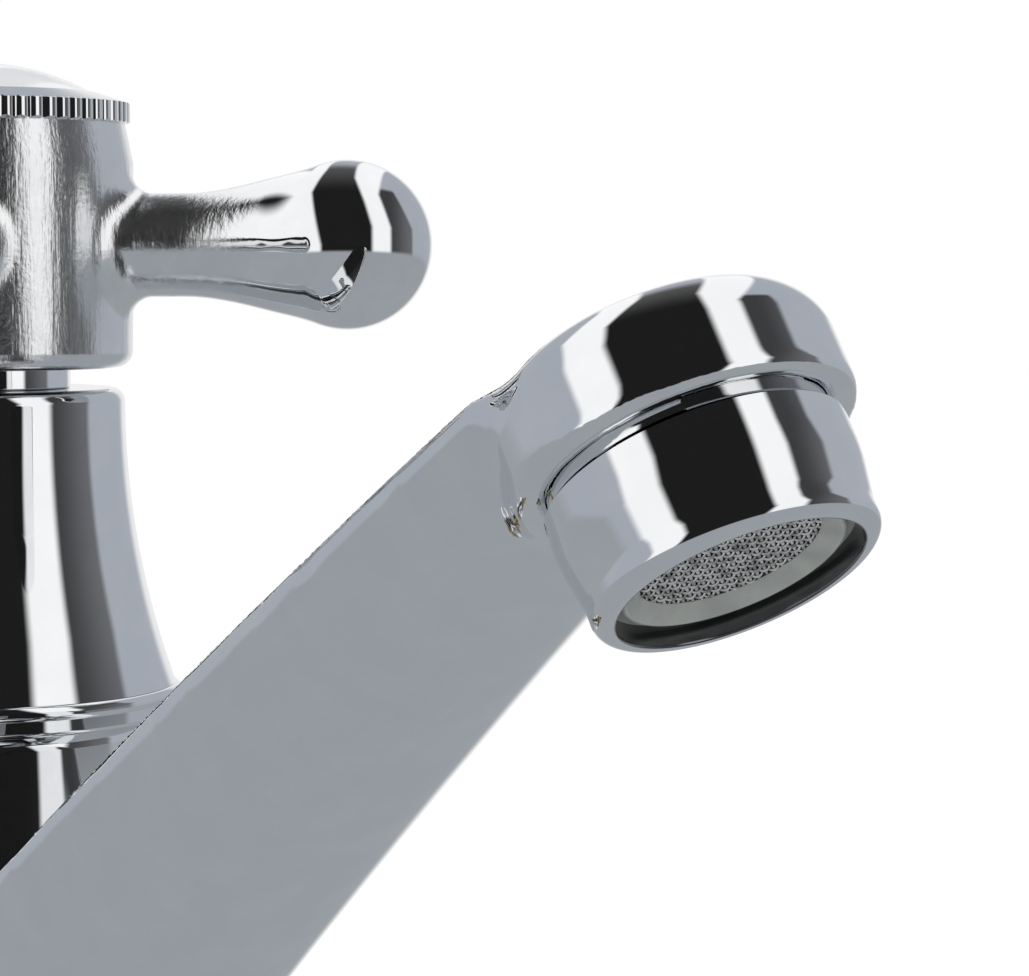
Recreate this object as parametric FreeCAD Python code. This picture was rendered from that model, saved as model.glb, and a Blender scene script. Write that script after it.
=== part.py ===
"""Pillar tap with a cross handle: every piece as its own solid, one STEP file each.

Frame: origin on the column axis at the deck face, +Z up, the spout points along -Y.
All lengths are millimetres and all angles degrees.
"""
import FreeCAD, Part
import math
import os

from FreeCAD import Placement, Rotation, Vector

os.makedirs("parts", exist_ok=True)

# ---------------------------------------------------------------- driving dimensions
# Clearances between pieces
SLIP = 0.05                  # radial gap where one piece turns or slides in another
THREAD_GAP = 0.08            # radial gap between an outer and an inner thread, drawn plain
PLAY = 0.3                   # gap that stays open beside a moving piece
DRAIN_GAP = 0.5              # gap under the end of a screw or a spindle in its blind hole

# Deck, gasket and fixing below the deck
GASKET_RADIUS = 23.0
GASKET_THICKNESS = 1.2
DECK_THICKNESS = 14.0        # basin or bath rim that the tap is shown clamped to
CLAMP_WASHER_RADIUS = 20.5
CLAMP_WASHER_THICKNESS = 2.0
BACKNUT_FLATS = 36.0
BACKNUT_FLANGE_RADIUS = 20.0
BACKNUT_FLANGE_THICKNESS = 2.5
BACKNUT_HEIGHT = 9.0
TAIL_RADIUS = 13.22          # G 3/4 pipe thread, outer radius
TAIL_LENGTH = 50.0           # below the deck face
TAIL_THREAD_PITCH = 1.814
TAIL_THREAD_DEPTH = 1.1      # drawn as level V grooves, one for each turn of the thread
TAIL_THREAD_TOP = 1.0        # the thread runs out this far below the deck face
TAIL_NOSE_RADIUS = 11.9      # plain end that a supply connector slides over
TAIL_NOSE = 4.0
TAIL_NOSE_ROUNDING = 0.4
INLET_RADIUS = 7.0

# Body casting
FLANGE_RADIUS = 25.0
FLANGE_EDGE = 3.6            # height of the flange's outer edge
FLANGE_ROUNDING = 1.6
STEP_RADIUS = 21.2           # small step on top of the flange
STEP_HEIGHT = 1.2
COVE_HEIGHT = 5.4            # hollow curve from the step up to the barrel
BODY_RADIUS = 16.4
BODY_HEIGHT = 63.0           # deck face to the top face of the casting
BODY_SHOULDER = 1.8
BODY_WALL = 3.4
CHAMBER_FLOOR = 18.0
RISER_WALL = 1.7             # wall of the inner pipe that carries the seat
RISER_DROP = 21.5            # top face of the casting down to the riser's top
HEADWORK_THREAD_RADIUS = 10.48   # G 1/2 pipe thread, outer radius
HEADWORK_THREAD_LENGTH = 14.0

# Spout: an arm that rises to a round end, whose axis leans outwards
SPOUT_REACH = 115.0          # column axis to the centre of the outlet
OUTLET_HEIGHT = 85.2         # deck face to the centre of the outlet
OUTLET_TILT = 33.5           # lean of the outlet axis, and rise of the arm
BOSS_RADIUS = 13.3
BOSS_END = 10.2              # along the outlet axis, from the outlet plane
BOSS_TOP = 20.6              # top of its shallow dome
BOSS_DOME = 2.0
BOSS_TOP_ROUNDING = 3.0
BOSS_END_ROUNDING = 0.9
ARM_TOP = 19.3               # along the outlet axis, from the outlet plane
ARM_CROWN = 0.8              # the top face is slightly domed across
ARM_ARCH = 1.3               # and slightly arched along
ARM_RUN = 120.0              # arm length over which it widens and deepens
ARM_TIP_HALF_WIDTH = 12.6
ARM_ROOT_HALF_WIDTH = 16.0
ARM_TIP_DEPTH = 7.7
ARM_ROOT_DEPTH = 23.0
ARM_FULLNESS = 2.3           # 2 is an ellipse, more is squarer
ARM_EDGE_ROUNDING = 1.1
SPOUT_WALL = 2.0

# Aerator
SPIGOT_RADIUS = 10.9         # M22 thread on the spout end
SPIGOT_BORE = 9.0
SPIGOT_END = 4.5
SHELL_RADIUS = 11.7
SHELL_LIP_RADIUS = 11.05
SHELL_TOP = 9.5
SHELL_TOP_CHAMFER = 0.4
SHELL_TAPER_START = 6.0
SHELL_LIP_START = 2.1        # the polished lip begins here
SHELL_LIP_ROUNDING = 0.8
OUTLET_RADIUS = 9.54
SHELL_LEDGE = 1.9            # inner ledge that holds the insert
INSERT_NOSE_RADIUS = 8.63
INSERT_NOSE = 1.15
INSERT_FLANGE_THICKNESS = 1.2
INSERT_DEPTH = 8.0
INSERT_WALL = 1.2
SCREEN_RADIUS = 7.0          # visible part of the woven screen
SCREEN_PLACE = 2.3
SCREEN_THICKNESS = 0.4
SCREEN_EDGE = 0.3            # part of the screen held under the insert's lip
DIFFUSER_THICKNESS = 1.0
DIFFUSER_PLACE = 5.2
DIFFUSER_HOLE_RADIUS = 0.5
DIFFUSER_RINGS = 3
DIFFUSER_RING_PITCH = 1.9

# Bonnet
RING_HEIGHT = 2.95           # stepped ring under the bell
RING_BEAD_RADIUS = 19.4
RING_BEAD_HEIGHT = 1.5
RING_BASE_RADIUS = 18.7
RING_WEB = 1.2
BELL_BOTTOM_RADIUS = 18.85
BELL_TOP_RADIUS = 14.0
BELL_HEIGHT = 29.7
BELL_SHOULDER = 1.4
BELL_WALL = 1.5
NUT_RADIUS = 8.6             # round collar on top of the bell
NUT_HEIGHT = 3.6

# Headwork: the screw-in valve
HEADWORK_WASHER = 0.8
HEADWORK_FLANGE_RADIUS = 13.4
HEADWORK_FLANGE_THICKNESS = 2.0
HEADWORK_FLATS = 22.0
HEADWORK_HEX_HEIGHT = 7.0
HEADWORK_WAIST_RADIUS = 9.6
HEADWORK_WAIST_HEIGHT = 9.0
NECK_RADIUS = 7.0
NECK_END_WALL = 0.2          # the neck ends this far below the top of the collar
SPINDLE_RADIUS = 4.0
SPINDLE_COLLAR_RADIUS = 6.0
SPINDLE_COLLAR_HEIGHT = 2.4
SPINDLE_SCREW_RADIUS = 4.5
SPINDLE_SCREW_LENGTH = 14.0
SPINDLE_CORE_RADIUS = 3.2    # at the circlip groove
O_RING_SECTION = 1.0         # radius of the ring's cord
O_RING_SPACING = 6.0
THRUST_WASHER_THICKNESS = 0.8
CIRCLIP_THICKNESS = 0.8
CIRCLIP_RADIUS = 6.0
CIRCLIP_OPENING = 60.0
SPLINE_COUNT = 20
SPLINE_DEPTH = 0.35
SPLINE_LENGTH = 10.0

# Valve
SEAT_BORE = 5.5
SEAT_CROWN = 0.8             # raised ring that the rubber closes on
SEAT_DEPTH = 6.0
SEAT_WASHER_RADIUS = 7.2
SEAT_WASHER_THICKNESS = 3.0
CARRIER_FLANGE_RADIUS = 8.0
CARRIER_FLANGE_THICKNESS = 2.0
CARRIER_FLATS = 13.0
CARRIER_WEB = 1.0            # between the spindle's hole and the washer screw's
VALVE_LIFT = 4.0
WASHER_SCREW_RADIUS = 2.0
WASHER_SCREW_HEAD_RADIUS = 3.4
WASHER_SCREW_HEAD = 1.2

# Handle
HANDLE_GAP = 2.05            # bell top to hub
HUB_RADIUS = 15.0
HUB_BASE_RADIUS = 14.8
HUB_TOP_RADIUS = 14.2
HUB_HEIGHT = 24.3
HUB_BASE_ROUNDING = 1.7
HUB_TOP_ROUNDING = 4.0       # height over which the hub draws in to its top
HUB_SKIRT_WALL = 5.5
HUB_SKIRT_DEPTH = 5.0
HUB_WEB = 2.0
ARM_COUNT = 4
ARM_FIRST_ANGLE = 45.0       # the arms stand at 45 degrees to the spout when closed
HANDLE_ARM_LENGTH = 45.35
BULB_RADIUS = 8.33
ARM_NECK_RADIUS = 5.1
ARM_NECK_PLACE = 20.8
ARM_SWELL_PLACE = 29.2
ARM_SWELL_RADIUS = 6.5
HUB_FILLET = 2.6
BUSH_RADIUS = 6.0
HANDLE_SCREW_RADIUS = 2.0
HANDLE_SCREW_GRIP = 9.0      # length inside the spindle
HANDLE_SCREW_HEAD_RADIUS = 3.8
HANDLE_SCREW_HEAD = 2.4
HANDLE_SCREW_SLOT = 1.0
SCREW_WASHER_THICKNESS = 0.6

# Index ring and porcelain disc
INDEX_RADIUS = 14.7
INDEX_HEIGHT = 1.95
INDEX_BEVEL = 1.05
INDEX_SKIRT_RADIUS = 11.6
INDEX_SKIRT = 3.4
INDEX_BORE = 9.6
FLUTE_COUNT = 60
FLUTE_DEPTH = 0.36
DISC_RADIUS = 11.0
DISC_EDGE = 2.4
DISC_DOME = 2.9
INDEX_RING_SECTION = 0.9     # O-ring cord radius under the disc

# ---------------------------------------------------------------- shape helpers


def wire_points(corners):
    """Edges of a closed outline. A corner is (x, y) or (x, y, rounding)."""
    count = len(corners)
    starts = []
    ends = []
    middles = []
    for i, corner in enumerate(corners):
        here = Vector(corner[0], corner[1], 0)
        before = Vector(*corners[i - 1][:2], 0) - here
        after = Vector(*corners[(i + 1) % count][:2], 0) - here
        rounding = corner[2] if len(corner) > 2 else 0
        if rounding <= 0:
            starts.append(here)
            ends.append(here)
            middles.append(None)
            continue
        before.normalize()
        after.normalize()
        half = before.getAngle(after) / 2
        back = rounding / math.tan(half)
        bisector = (before + after).normalize()
        centre = here + bisector * (rounding / math.sin(half))
        starts.append(here + before * back)
        ends.append(here + after * back)
        middles.append(centre - bisector * rounding)
    edges = []
    for i in range(count):
        if middles[i] is not None:
            edges.append(Part.Arc(starts[i], middles[i], ends[i]).toShape())
        following = starts[(i + 1) % count]
        if (following - ends[i]).Length > 1e-6:
            edges.append(Part.LineSegment(ends[i], following).toShape())
    return edges


def turned(corners):
    """Solid of revolution about Z from corners (radius, height, rounding)."""
    face = Part.Face(Part.Wire(Part.__sortEdges__(wire_points(corners))))
    face.rotate(Vector(0, 0, 0), Vector(1, 0, 0), 90)
    return face.revolve(Vector(0, 0, 0), Vector(0, 0, 1), 360)


def tube(outer, inner, bottom, top):
    return turned([(inner, bottom), (outer, bottom), (outer, top), (inner, top)])


def rod(radius, bottom, top):
    return Part.makeCylinder(radius, top - bottom, Vector(0, 0, bottom))


def prism(flats, bottom, top, sides=6):
    """Upright prism with flat sides, given the width across two opposite flats."""
    radius = flats / 2 / math.cos(math.pi / sides)
    points = []
    for i in range(sides + 1):
        angle = 2 * math.pi * i / sides
        points.append(Vector(radius * math.cos(angle), radius * math.sin(angle), bottom))
    return Part.Face(Part.makePolygon(points)).extrude(Vector(0, 0, top - bottom))


def o_ring(centre_radius, section, height):
    return Part.makeTorus(centre_radius, section, Vector(0, 0, height))


def around(shape, count, first=0.0):
    """Copies of a shape, evenly spaced about Z."""
    copies = []
    for i in range(count):
        copy = shape.copy()
        copy.rotate(Vector(0, 0, 0), Vector(0, 0, 1), first + 360 * i / count)
        copies.append(copy)
    return copies


def save(name, shape):
    shape.exportStep("parts/" + name + ".step")


# ---------------------------------------------------------------- heights on the column
clamp_top = -DECK_THICKNESS
clamp_bottom = clamp_top - CLAMP_WASHER_THICKNESS
backnut_bottom = clamp_bottom - BACKNUT_HEIGHT
nose_top = -TAIL_LENGTH + TAIL_NOSE
flange_bottom = GASKET_THICKNESS
step_top = flange_bottom + FLANGE_EDGE + STEP_HEIGHT
barrel_bottom = step_top + COVE_HEIGHT
chamber_radius = BODY_RADIUS - BODY_WALL
chamber_top = BODY_HEIGHT - HEADWORK_THREAD_LENGTH
headwork_bore = HEADWORK_THREAD_RADIUS + THREAD_GAP
riser_top = BODY_HEIGHT - RISER_DROP

ring_top = BODY_HEIGHT + RING_HEIGHT
ring_web_top = BODY_HEIGHT + RING_WEB
headwork_seat = ring_web_top + HEADWORK_WASHER
hex_bottom = headwork_seat + HEADWORK_FLANGE_THICKNESS
hex_top = hex_bottom + HEADWORK_HEX_HEIGHT
waist_top = hex_top + HEADWORK_WAIST_HEIGHT
bell_top = ring_top + BELL_HEIGHT
nut_top = bell_top + NUT_HEIGHT
neck_top = nut_top - NECK_END_WALL
hub_bottom = bell_top + HANDLE_GAP
hub_top = hub_bottom + HUB_HEIGHT
skirt_top = hub_bottom + HUB_SKIRT_DEPTH
arm_height = (hub_bottom + hub_top) / 2

seat_top = riser_top + SEAT_CROWN
washer_bottom = seat_top + SLIP
flange_low = washer_bottom + SEAT_WASHER_THICKNESS
flange_high = flange_low + CARRIER_FLANGE_THICKNESS
guide_radius = CARRIER_FLATS / 2 + 2 * SLIP
headwork_bottom = flange_high + VALVE_LIFT + PLAY
circlip_bottom = neck_top + PLAY
circlip_top = circlip_bottom + CIRCLIP_THICKNESS
collar_top = hex_top - THRUST_WASHER_THICKNESS - SLIP
collar_bottom = collar_top - SPINDLE_COLLAR_HEIGHT
screw_bottom = collar_bottom - SPINDLE_SCREW_LENGTH
carrier_top = collar_bottom - VALVE_LIFT - PLAY
carrier_hole_bottom = screw_bottom - VALVE_LIFT - DRAIN_GAP
washer_hole_top = carrier_hole_bottom - CARRIER_WEB
washer_screw_top = washer_hole_top - DRAIN_GAP
spline_bottom = skirt_top + PLAY
spindle_top = spline_bottom + SPLINE_LENGTH
web_bottom = spindle_top + PLAY
web_top = web_bottom + HUB_WEB
index_bottom = hub_top
index_top = index_bottom + INDEX_HEIGHT
bevel_top = index_top + INDEX_BEVEL
disc_bottom = bevel_top - DISC_EDGE

# ---------------------------------------------------------------- the outlet's own frame
# Its Z runs up the outlet axis from the outlet plane, and its Y runs back along the arm.
outlet_frame = Placement(Vector(0, -SPOUT_REACH, OUTLET_HEIGHT), Rotation(Vector(1, 0, 0), -OUTLET_TILT))


def at_outlet(shape):
    moved = shape.copy()
    moved.Placement = outlet_frame.multiply(moved.Placement)
    return moved


# ---------------------------------------------------------------- body casting
def arm_section(place, wall=0.0):
    """D-shaped outline across the arm: a nearly flat top and a rounded underside."""
    share = place / ARM_RUN
    half_width = ARM_TIP_HALF_WIDTH + (ARM_ROOT_HALF_WIDTH - ARM_TIP_HALF_WIDTH) * share - wall
    depth = ARM_TIP_DEPTH + (ARM_ROOT_DEPTH - ARM_TIP_DEPTH) * share - 2 * wall
    top = ARM_TOP + 4 * ARM_ARCH * share * (1 - share) - wall
    left = Vector(-half_width, place, top)
    right = Vector(half_width, place, top)
    crown = Part.Arc(left, Vector(0, place, top + ARM_CROWN), right).toShape()
    points = []
    steps = 12
    for i in range(steps + 1):
        angle = math.pi * i / steps
        across = abs(math.cos(angle)) ** (2 / ARM_FULLNESS) * (1 if i * 2 < steps else -1)
        down = abs(math.sin(angle)) ** (2 / ARM_FULLNESS)
        points.append(Vector(half_width * across, place, top - depth * down))
    under = Part.BSplineCurve()
    under.interpolate(points, InitialTangent=Vector(0, 0, -1), FinalTangent=Vector(0, 0, 1))
    return Part.Wire([crown, under.toShape()])


def arm_solid(first, last, wall=0.0):
    stations = 6
    sections = []
    for i in range(stations):
        sections.append(arm_section(first + (last - first) * i / (stations - 1), wall))
    return Part.makeLoft(sections, True, False)


def axis_run(height, radius):
    """Length along the arm at which a point at this outlet height reaches a column radius."""
    tilt = math.radians(OUTLET_TILT)
    return (SPOUT_REACH - height * math.sin(tilt) - radius) / math.cos(tilt)


arm_end = axis_run(ARM_TOP - ARM_ROOT_DEPTH, BODY_RADIUS - 1.3)
core_end = axis_run(ARM_TOP - ARM_ROOT_DEPTH + SPOUT_WALL, chamber_radius - 0.5)

arm = arm_solid(2.0, arm_end)
long_edges = [edge for edge in arm.Edges if edge.Length > ARM_RUN / 2]
arm = arm.makeFillet(ARM_EDGE_ROUNDING, long_edges)
arm = at_outlet(arm)

dome_ball = (BOSS_RADIUS ** 2 + BOSS_DOME ** 2) / (2 * BOSS_DOME)
boss = rod(BOSS_RADIUS, BOSS_END, BOSS_TOP).common(
    Part.makeSphere(dome_ball, Vector(0, 0, BOSS_TOP - dome_ball)))


def rim_edges(shape, height):
    """The full circles of a turned shape near a height."""
    return [edge for edge in shape.Edges
            if edge.BoundBox.ZLength < 1e-3 and abs(edge.CenterOfMass.z - height) < 0.05
            and len(edge.Vertexes) == 1]


boss = boss.makeFillet(BOSS_TOP_ROUNDING, rim_edges(boss, BOSS_TOP - BOSS_DOME))
boss = at_outlet(boss.makeFillet(BOSS_END_ROUNDING, rim_edges(boss, BOSS_END)))

barrel = turned([
    (0, flange_bottom),
    (FLANGE_RADIUS, flange_bottom, 0.4),
    (FLANGE_RADIUS, flange_bottom + FLANGE_EDGE, FLANGE_ROUNDING),
    (STEP_RADIUS, flange_bottom + FLANGE_EDGE),
    (STEP_RADIUS, step_top, 0.4),
    (BODY_RADIUS, step_top, min(STEP_RADIUS - BODY_RADIUS, COVE_HEIGHT) * 0.8),
    (BODY_RADIUS, BODY_HEIGHT, BODY_SHOULDER),
    (0, BODY_HEIGHT)])
tail_outline = [
    (0, -TAIL_LENGTH),
    (TAIL_NOSE_RADIUS, -TAIL_LENGTH, TAIL_NOSE_ROUNDING),
    (TAIL_NOSE_RADIUS, nose_top)]
for turn in range(int((-TAIL_THREAD_TOP - nose_top) / TAIL_THREAD_PITCH)):
    groove = nose_top + turn * TAIL_THREAD_PITCH
    tail_outline += [
        (TAIL_RADIUS - TAIL_THREAD_DEPTH, groove),
        (TAIL_RADIUS, groove + TAIL_THREAD_PITCH / 2)]
tail_outline += [
    (TAIL_RADIUS, flange_bottom + STEP_HEIGHT),
    (0, flange_bottom + STEP_HEIGHT)]
tail = turned(tail_outline)
spigot = at_outlet(rod(SPIGOT_RADIUS, SPIGOT_END, BOSS_END + SPOUT_WALL))
spout = arm.fuse(boss.fuse(spigot))
casting = barrel.fuse(tail).fuse(spout)

chamber = rod(chamber_radius, CHAMBER_FLOOR, chamber_top)
headwork_hole = rod(headwork_bore, chamber_top, BODY_HEIGHT)
arm_core = at_outlet(arm_solid(2.0, core_end, SPOUT_WALL))
outlet_hole = at_outlet(rod(SPIGOT_BORE, SPIGOT_END, ARM_TOP - SPOUT_WALL))
casting = casting.cut(arm_core.fuse(outlet_hole)).cut(chamber).cut(headwork_hole)

seat_pocket = INLET_RADIUS + 1.0
riser = rod(seat_pocket + RISER_WALL, CHAMBER_FLOOR - 6.0, riser_top)
inlet_hole = rod(INLET_RADIUS, -TAIL_LENGTH, riser_top)
pocket_hole = rod(seat_pocket, riser_top - SEAT_DEPTH, riser_top)
tap_body = casting.fuse(riser).cut(inlet_hole).cut(pocket_hole).removeSplitter()
save("tap_body", tap_body)

# ---------------------------------------------------------------- fixing to the deck
tail_bore = TAIL_RADIUS + THREAD_GAP
save("deck_gasket", tube(GASKET_RADIUS, tail_bore, 0, GASKET_THICKNESS))

save("clamp_washer", tube(CLAMP_WASHER_RADIUS, tail_bore, clamp_bottom, clamp_top))

backnut_flange = rod(BACKNUT_FLANGE_RADIUS, clamp_bottom - BACKNUT_FLANGE_THICKNESS, clamp_bottom)
backnut = backnut_flange.fuse(prism(BACKNUT_FLATS, backnut_bottom, clamp_bottom))
backnut = backnut.cut(rod(tail_bore, backnut_bottom, clamp_bottom)).removeSplitter()
save("backnut", backnut)

# ---------------------------------------------------------------- valve seat
seat = turned([
    (SEAT_BORE, riser_top - SEAT_DEPTH),
    (seat_pocket - SLIP, riser_top - SEAT_DEPTH),
    (seat_pocket - SLIP, riser_top),
    (SEAT_BORE + 1.2, riser_top),
    (SEAT_BORE + 0.8, seat_top),
    (SEAT_BORE, seat_top)])
save("valve_seat", seat)

# ---------------------------------------------------------------- headwork
headwork = turned([
    (SPINDLE_RADIUS + SLIP, headwork_bottom),
    (HEADWORK_THREAD_RADIUS, headwork_bottom, 0.5),
    (HEADWORK_THREAD_RADIUS, headwork_seat),
    (HEADWORK_FLANGE_RADIUS, headwork_seat),
    (HEADWORK_FLANGE_RADIUS, hex_bottom),
    (HEADWORK_WAIST_RADIUS, hex_bottom),
    (HEADWORK_WAIST_RADIUS, waist_top, 1.0),
    (NECK_RADIUS, waist_top, 0.8),
    (NECK_RADIUS, neck_top, 0.4),
    (SPINDLE_RADIUS + SLIP, neck_top)])
headwork = headwork.fuse(
    prism(HEADWORK_FLATS, hex_bottom, hex_top).cut(rod(SPINDLE_RADIUS + SLIP, hex_bottom, hex_top)))
guide = prism(2 * guide_radius, headwork_bottom, collar_bottom - PLAY)
collar_room = rod(max(SPINDLE_COLLAR_RADIUS + PLAY, guide_radius), collar_bottom - PLAY, hex_top)
save("headwork_body", headwork.cut([guide, collar_room]).removeSplitter())

save("headwork_washer", tube(HEADWORK_FLANGE_RADIUS - 0.4, headwork_bore, ring_web_top, headwork_seat))

# ---------------------------------------------------------------- spindle and its small pieces
ring_groove = SPINDLE_RADIUS - O_RING_SECTION
o_ring_heights = []
for i in range(2):
    o_ring_heights.append(waist_top + (neck_top - waist_top) / 2 - O_RING_SPACING * (i - 0.5))

spindle_outline = [
    (0, screw_bottom),
    (SPINDLE_SCREW_RADIUS - 0.6, screw_bottom),
    (SPINDLE_SCREW_RADIUS, screw_bottom + 0.6),
    (SPINDLE_SCREW_RADIUS, collar_bottom),
    (SPINDLE_COLLAR_RADIUS, collar_bottom),
    (SPINDLE_COLLAR_RADIUS, collar_top),
    (SPINDLE_RADIUS, collar_top),
    (SPINDLE_RADIUS, circlip_bottom),
    (SPINDLE_CORE_RADIUS, circlip_bottom),
    (SPINDLE_CORE_RADIUS, circlip_top),
    (SPINDLE_RADIUS, circlip_top),
    (SPINDLE_RADIUS, spindle_top, 0.4),
    (0, spindle_top)]
spindle = turned(spindle_outline)
groove_height = 2 * O_RING_SECTION + 2 * SLIP
for height in o_ring_heights:
    spindle = spindle.cut(tube(
        SPINDLE_RADIUS + 1, ring_groove - O_RING_SECTION + SLIP,
        height - groove_height / 2, height + groove_height / 2))
spline_cutter = Part.makeCylinder(
    SPLINE_DEPTH, SPLINE_LENGTH, Vector(SPINDLE_RADIUS, 0, spline_bottom))
spindle = spindle.cut(around(spline_cutter, SPLINE_COUNT))
screw_hole_bottom = spindle_top - HANDLE_SCREW_GRIP - DRAIN_GAP
spindle = spindle.cut(rod(HANDLE_SCREW_RADIUS + THREAD_GAP, screw_hole_bottom, spindle_top))
save("spindle", spindle)

o_rings = []
for height in o_ring_heights:
    o_rings.append(o_ring(ring_groove + SLIP, O_RING_SECTION - SLIP, height))
save("spindle_o_rings", Part.makeCompound(o_rings))

save("thrust_washer", tube(
    SPINDLE_COLLAR_RADIUS, SPINDLE_RADIUS + SLIP, collar_top, collar_top + THRUST_WASHER_THICKNESS))

circlip = tube(CIRCLIP_RADIUS, SPINDLE_CORE_RADIUS + SLIP, circlip_bottom + SLIP, circlip_top - SLIP)
opening = Part.makeCylinder(
    CIRCLIP_RADIUS + 1, CIRCLIP_THICKNESS, Vector(0, 0, circlip_bottom), Vector(0, 0, 1), CIRCLIP_OPENING)
opening.rotate(Vector(0, 0, 0), Vector(0, 0, 1), -CIRCLIP_OPENING / 2)
save("spindle_circlip", circlip.cut(opening))

# ---------------------------------------------------------------- rising valve
carrier = rod(CARRIER_FLANGE_RADIUS, flange_low, flange_high)
carrier = carrier.fuse(prism(CARRIER_FLATS, flange_high, carrier_top))
carrier = carrier.cut([
    rod(SPINDLE_SCREW_RADIUS + SLIP, carrier_hole_bottom, carrier_top),
    rod(WASHER_SCREW_RADIUS + THREAD_GAP, flange_low, washer_hole_top)])
save("valve_carrier", carrier.removeSplitter())

head_room = WASHER_SCREW_HEAD + 0.2
seat_washer = tube(
    SEAT_WASHER_RADIUS, WASHER_SCREW_RADIUS + THREAD_GAP, washer_bottom, flange_low)
seat_washer = seat_washer.cut(rod(WASHER_SCREW_HEAD_RADIUS + THREAD_GAP, washer_bottom, washer_bottom + head_room))
save("seat_washer", seat_washer)

washer_screw = rod(WASHER_SCREW_RADIUS, washer_bottom + head_room, washer_screw_top)
washer_screw = washer_screw.fuse(
    rod(WASHER_SCREW_HEAD_RADIUS, washer_bottom + head_room - WASHER_SCREW_HEAD, washer_bottom + head_room))
slot = Part.makeBox(
    2 * WASHER_SCREW_HEAD_RADIUS, 0.9, 0.6,
    Vector(-WASHER_SCREW_HEAD_RADIUS, -0.45, washer_bottom + head_room - WASHER_SCREW_HEAD))
save("washer_screw", washer_screw.cut(slot).removeSplitter())

# ---------------------------------------------------------------- bonnet
bonnet_ring = turned([
    (headwork_bore, BODY_HEIGHT),
    (RING_BASE_RADIUS, BODY_HEIGHT, 0.3),
    (RING_BASE_RADIUS, ring_top - RING_BEAD_HEIGHT),
    (RING_BEAD_RADIUS, ring_top - RING_BEAD_HEIGHT, 0.6),
    (RING_BEAD_RADIUS, ring_top, 0.6),
    (HEADWORK_FLANGE_RADIUS + PLAY, ring_top),
    (HEADWORK_FLANGE_RADIUS + PLAY, ring_web_top),
    (headwork_bore, ring_web_top)])
save("bonnet_ring", bonnet_ring)


def bell_curve(offset):
    """Side of the bell: one long arc, upright at the top and flaring to the rim."""
    top = bell_top - BELL_SHOULDER
    drop = top - ring_top
    flare = BELL_BOTTOM_RADIUS - BELL_TOP_RADIUS
    arc_radius = (drop * drop + flare * flare) / (2 * flare)
    points = []
    for share in (0.0, 0.5, 1.0):
        down = drop * share
        out = arc_radius - math.sqrt(arc_radius * arc_radius - down * down)
        points.append(Vector(BELL_TOP_RADIUS + out - offset, 0, top - down))
    return points


def bell_solid(offset, top, shoulder, bore):
    upper, middle, lower = bell_curve(offset)
    edge_top = Vector(upper.x - shoulder, 0, top)
    corner = Vector(upper.x - shoulder * (1 - math.sqrt(0.5)), 0, top - shoulder * (1 - math.sqrt(0.5)))
    side_top = Vector(upper.x, 0, top - shoulder)
    points = [Vector(bore, 0, top), edge_top]
    edges = [Part.LineSegment(points[0], points[1]).toShape(), Part.Arc(edge_top, corner, side_top).toShape()]
    if (side_top - upper).Length > 1e-6:
        edges.append(Part.LineSegment(side_top, upper).toShape())
    edges.append(Part.Arc(upper, middle, lower).toShape())
    edges.append(Part.LineSegment(lower, Vector(bore, 0, lower.z)).toShape())
    edges.append(Part.LineSegment(Vector(bore, 0, lower.z), points[0]).toShape())
    face = Part.Face(Part.Wire(edges))
    return face.revolve(Vector(0, 0, 0), Vector(0, 0, 1), 360)


nut_bore = NECK_RADIUS + THREAD_GAP
bell = bell_solid(0, bell_top, BELL_SHOULDER, nut_bore)
bell_hollow = bell_solid(BELL_WALL, bell_top - BELL_WALL, BELL_SHOULDER / 2, 0.5)
bell_hollow = bell_hollow.fuse(rod(1.0, ring_top, bell_top - BELL_WALL))
save("bonnet_cover", bell.cut(bell_hollow).removeSplitter())

save("bonnet_nut", turned([
    (nut_bore, bell_top),
    (NUT_RADIUS, bell_top, 0.2),
    (NUT_RADIUS, nut_top, 0.5),
    (nut_bore, nut_top)]))

# ---------------------------------------------------------------- handle
hub = turned([
    (0, hub_bottom),
    (HUB_BASE_RADIUS, hub_bottom, HUB_BASE_ROUNDING),
    (HUB_RADIUS, hub_top - HUB_TOP_ROUNDING, 2.0),
    (HUB_TOP_RADIUS, hub_top),
    (0, hub_top)])


def handle_arm():
    """One arm turned about its own axis, laid along +X: a waist that swells to a round bulb."""
    bulb_place = HANDLE_ARM_LENGTH - BULB_RADIUS
    tangent = math.radians(110)
    shoulder = Vector(
        bulb_place + BULB_RADIUS * math.cos(tangent), BULB_RADIUS * math.sin(tangent), 0)
    side = Part.BSplineCurve()
    side.interpolate(
        [Vector(ARM_NECK_PLACE, ARM_NECK_RADIUS, 0), Vector(ARM_SWELL_PLACE, ARM_SWELL_RADIUS, 0), shoulder],
        InitialTangent=Vector(1, 0, 0),
        FinalTangent=Vector(math.sin(tangent), -math.cos(tangent), 0))
    root = Vector(HUB_RADIUS / 2, ARM_NECK_RADIUS, 0)
    tip = Vector(HANDLE_ARM_LENGTH, 0, 0)
    over = Vector(
        bulb_place + BULB_RADIUS * math.cos(tangent / 2), BULB_RADIUS * math.sin(tangent / 2), 0)
    edges = [
        Part.LineSegment(Vector(root.x, 0, 0), root).toShape(),
        Part.LineSegment(root, Vector(ARM_NECK_PLACE, ARM_NECK_RADIUS, 0)).toShape(),
        side.toShape(),
        Part.Arc(shoulder, over, tip).toShape(),
        Part.LineSegment(tip, Vector(root.x, 0, 0)).toShape()]
    face = Part.Face(Part.Wire(edges))
    arm_shape = face.revolve(Vector(0, 0, 0), Vector(1, 0, 0), 360)
    arm_shape.translate(Vector(0, 0, arm_height))
    return arm_shape


cross = hub.fuse(around(handle_arm(), ARM_COUNT, ARM_FIRST_ANGLE))


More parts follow.
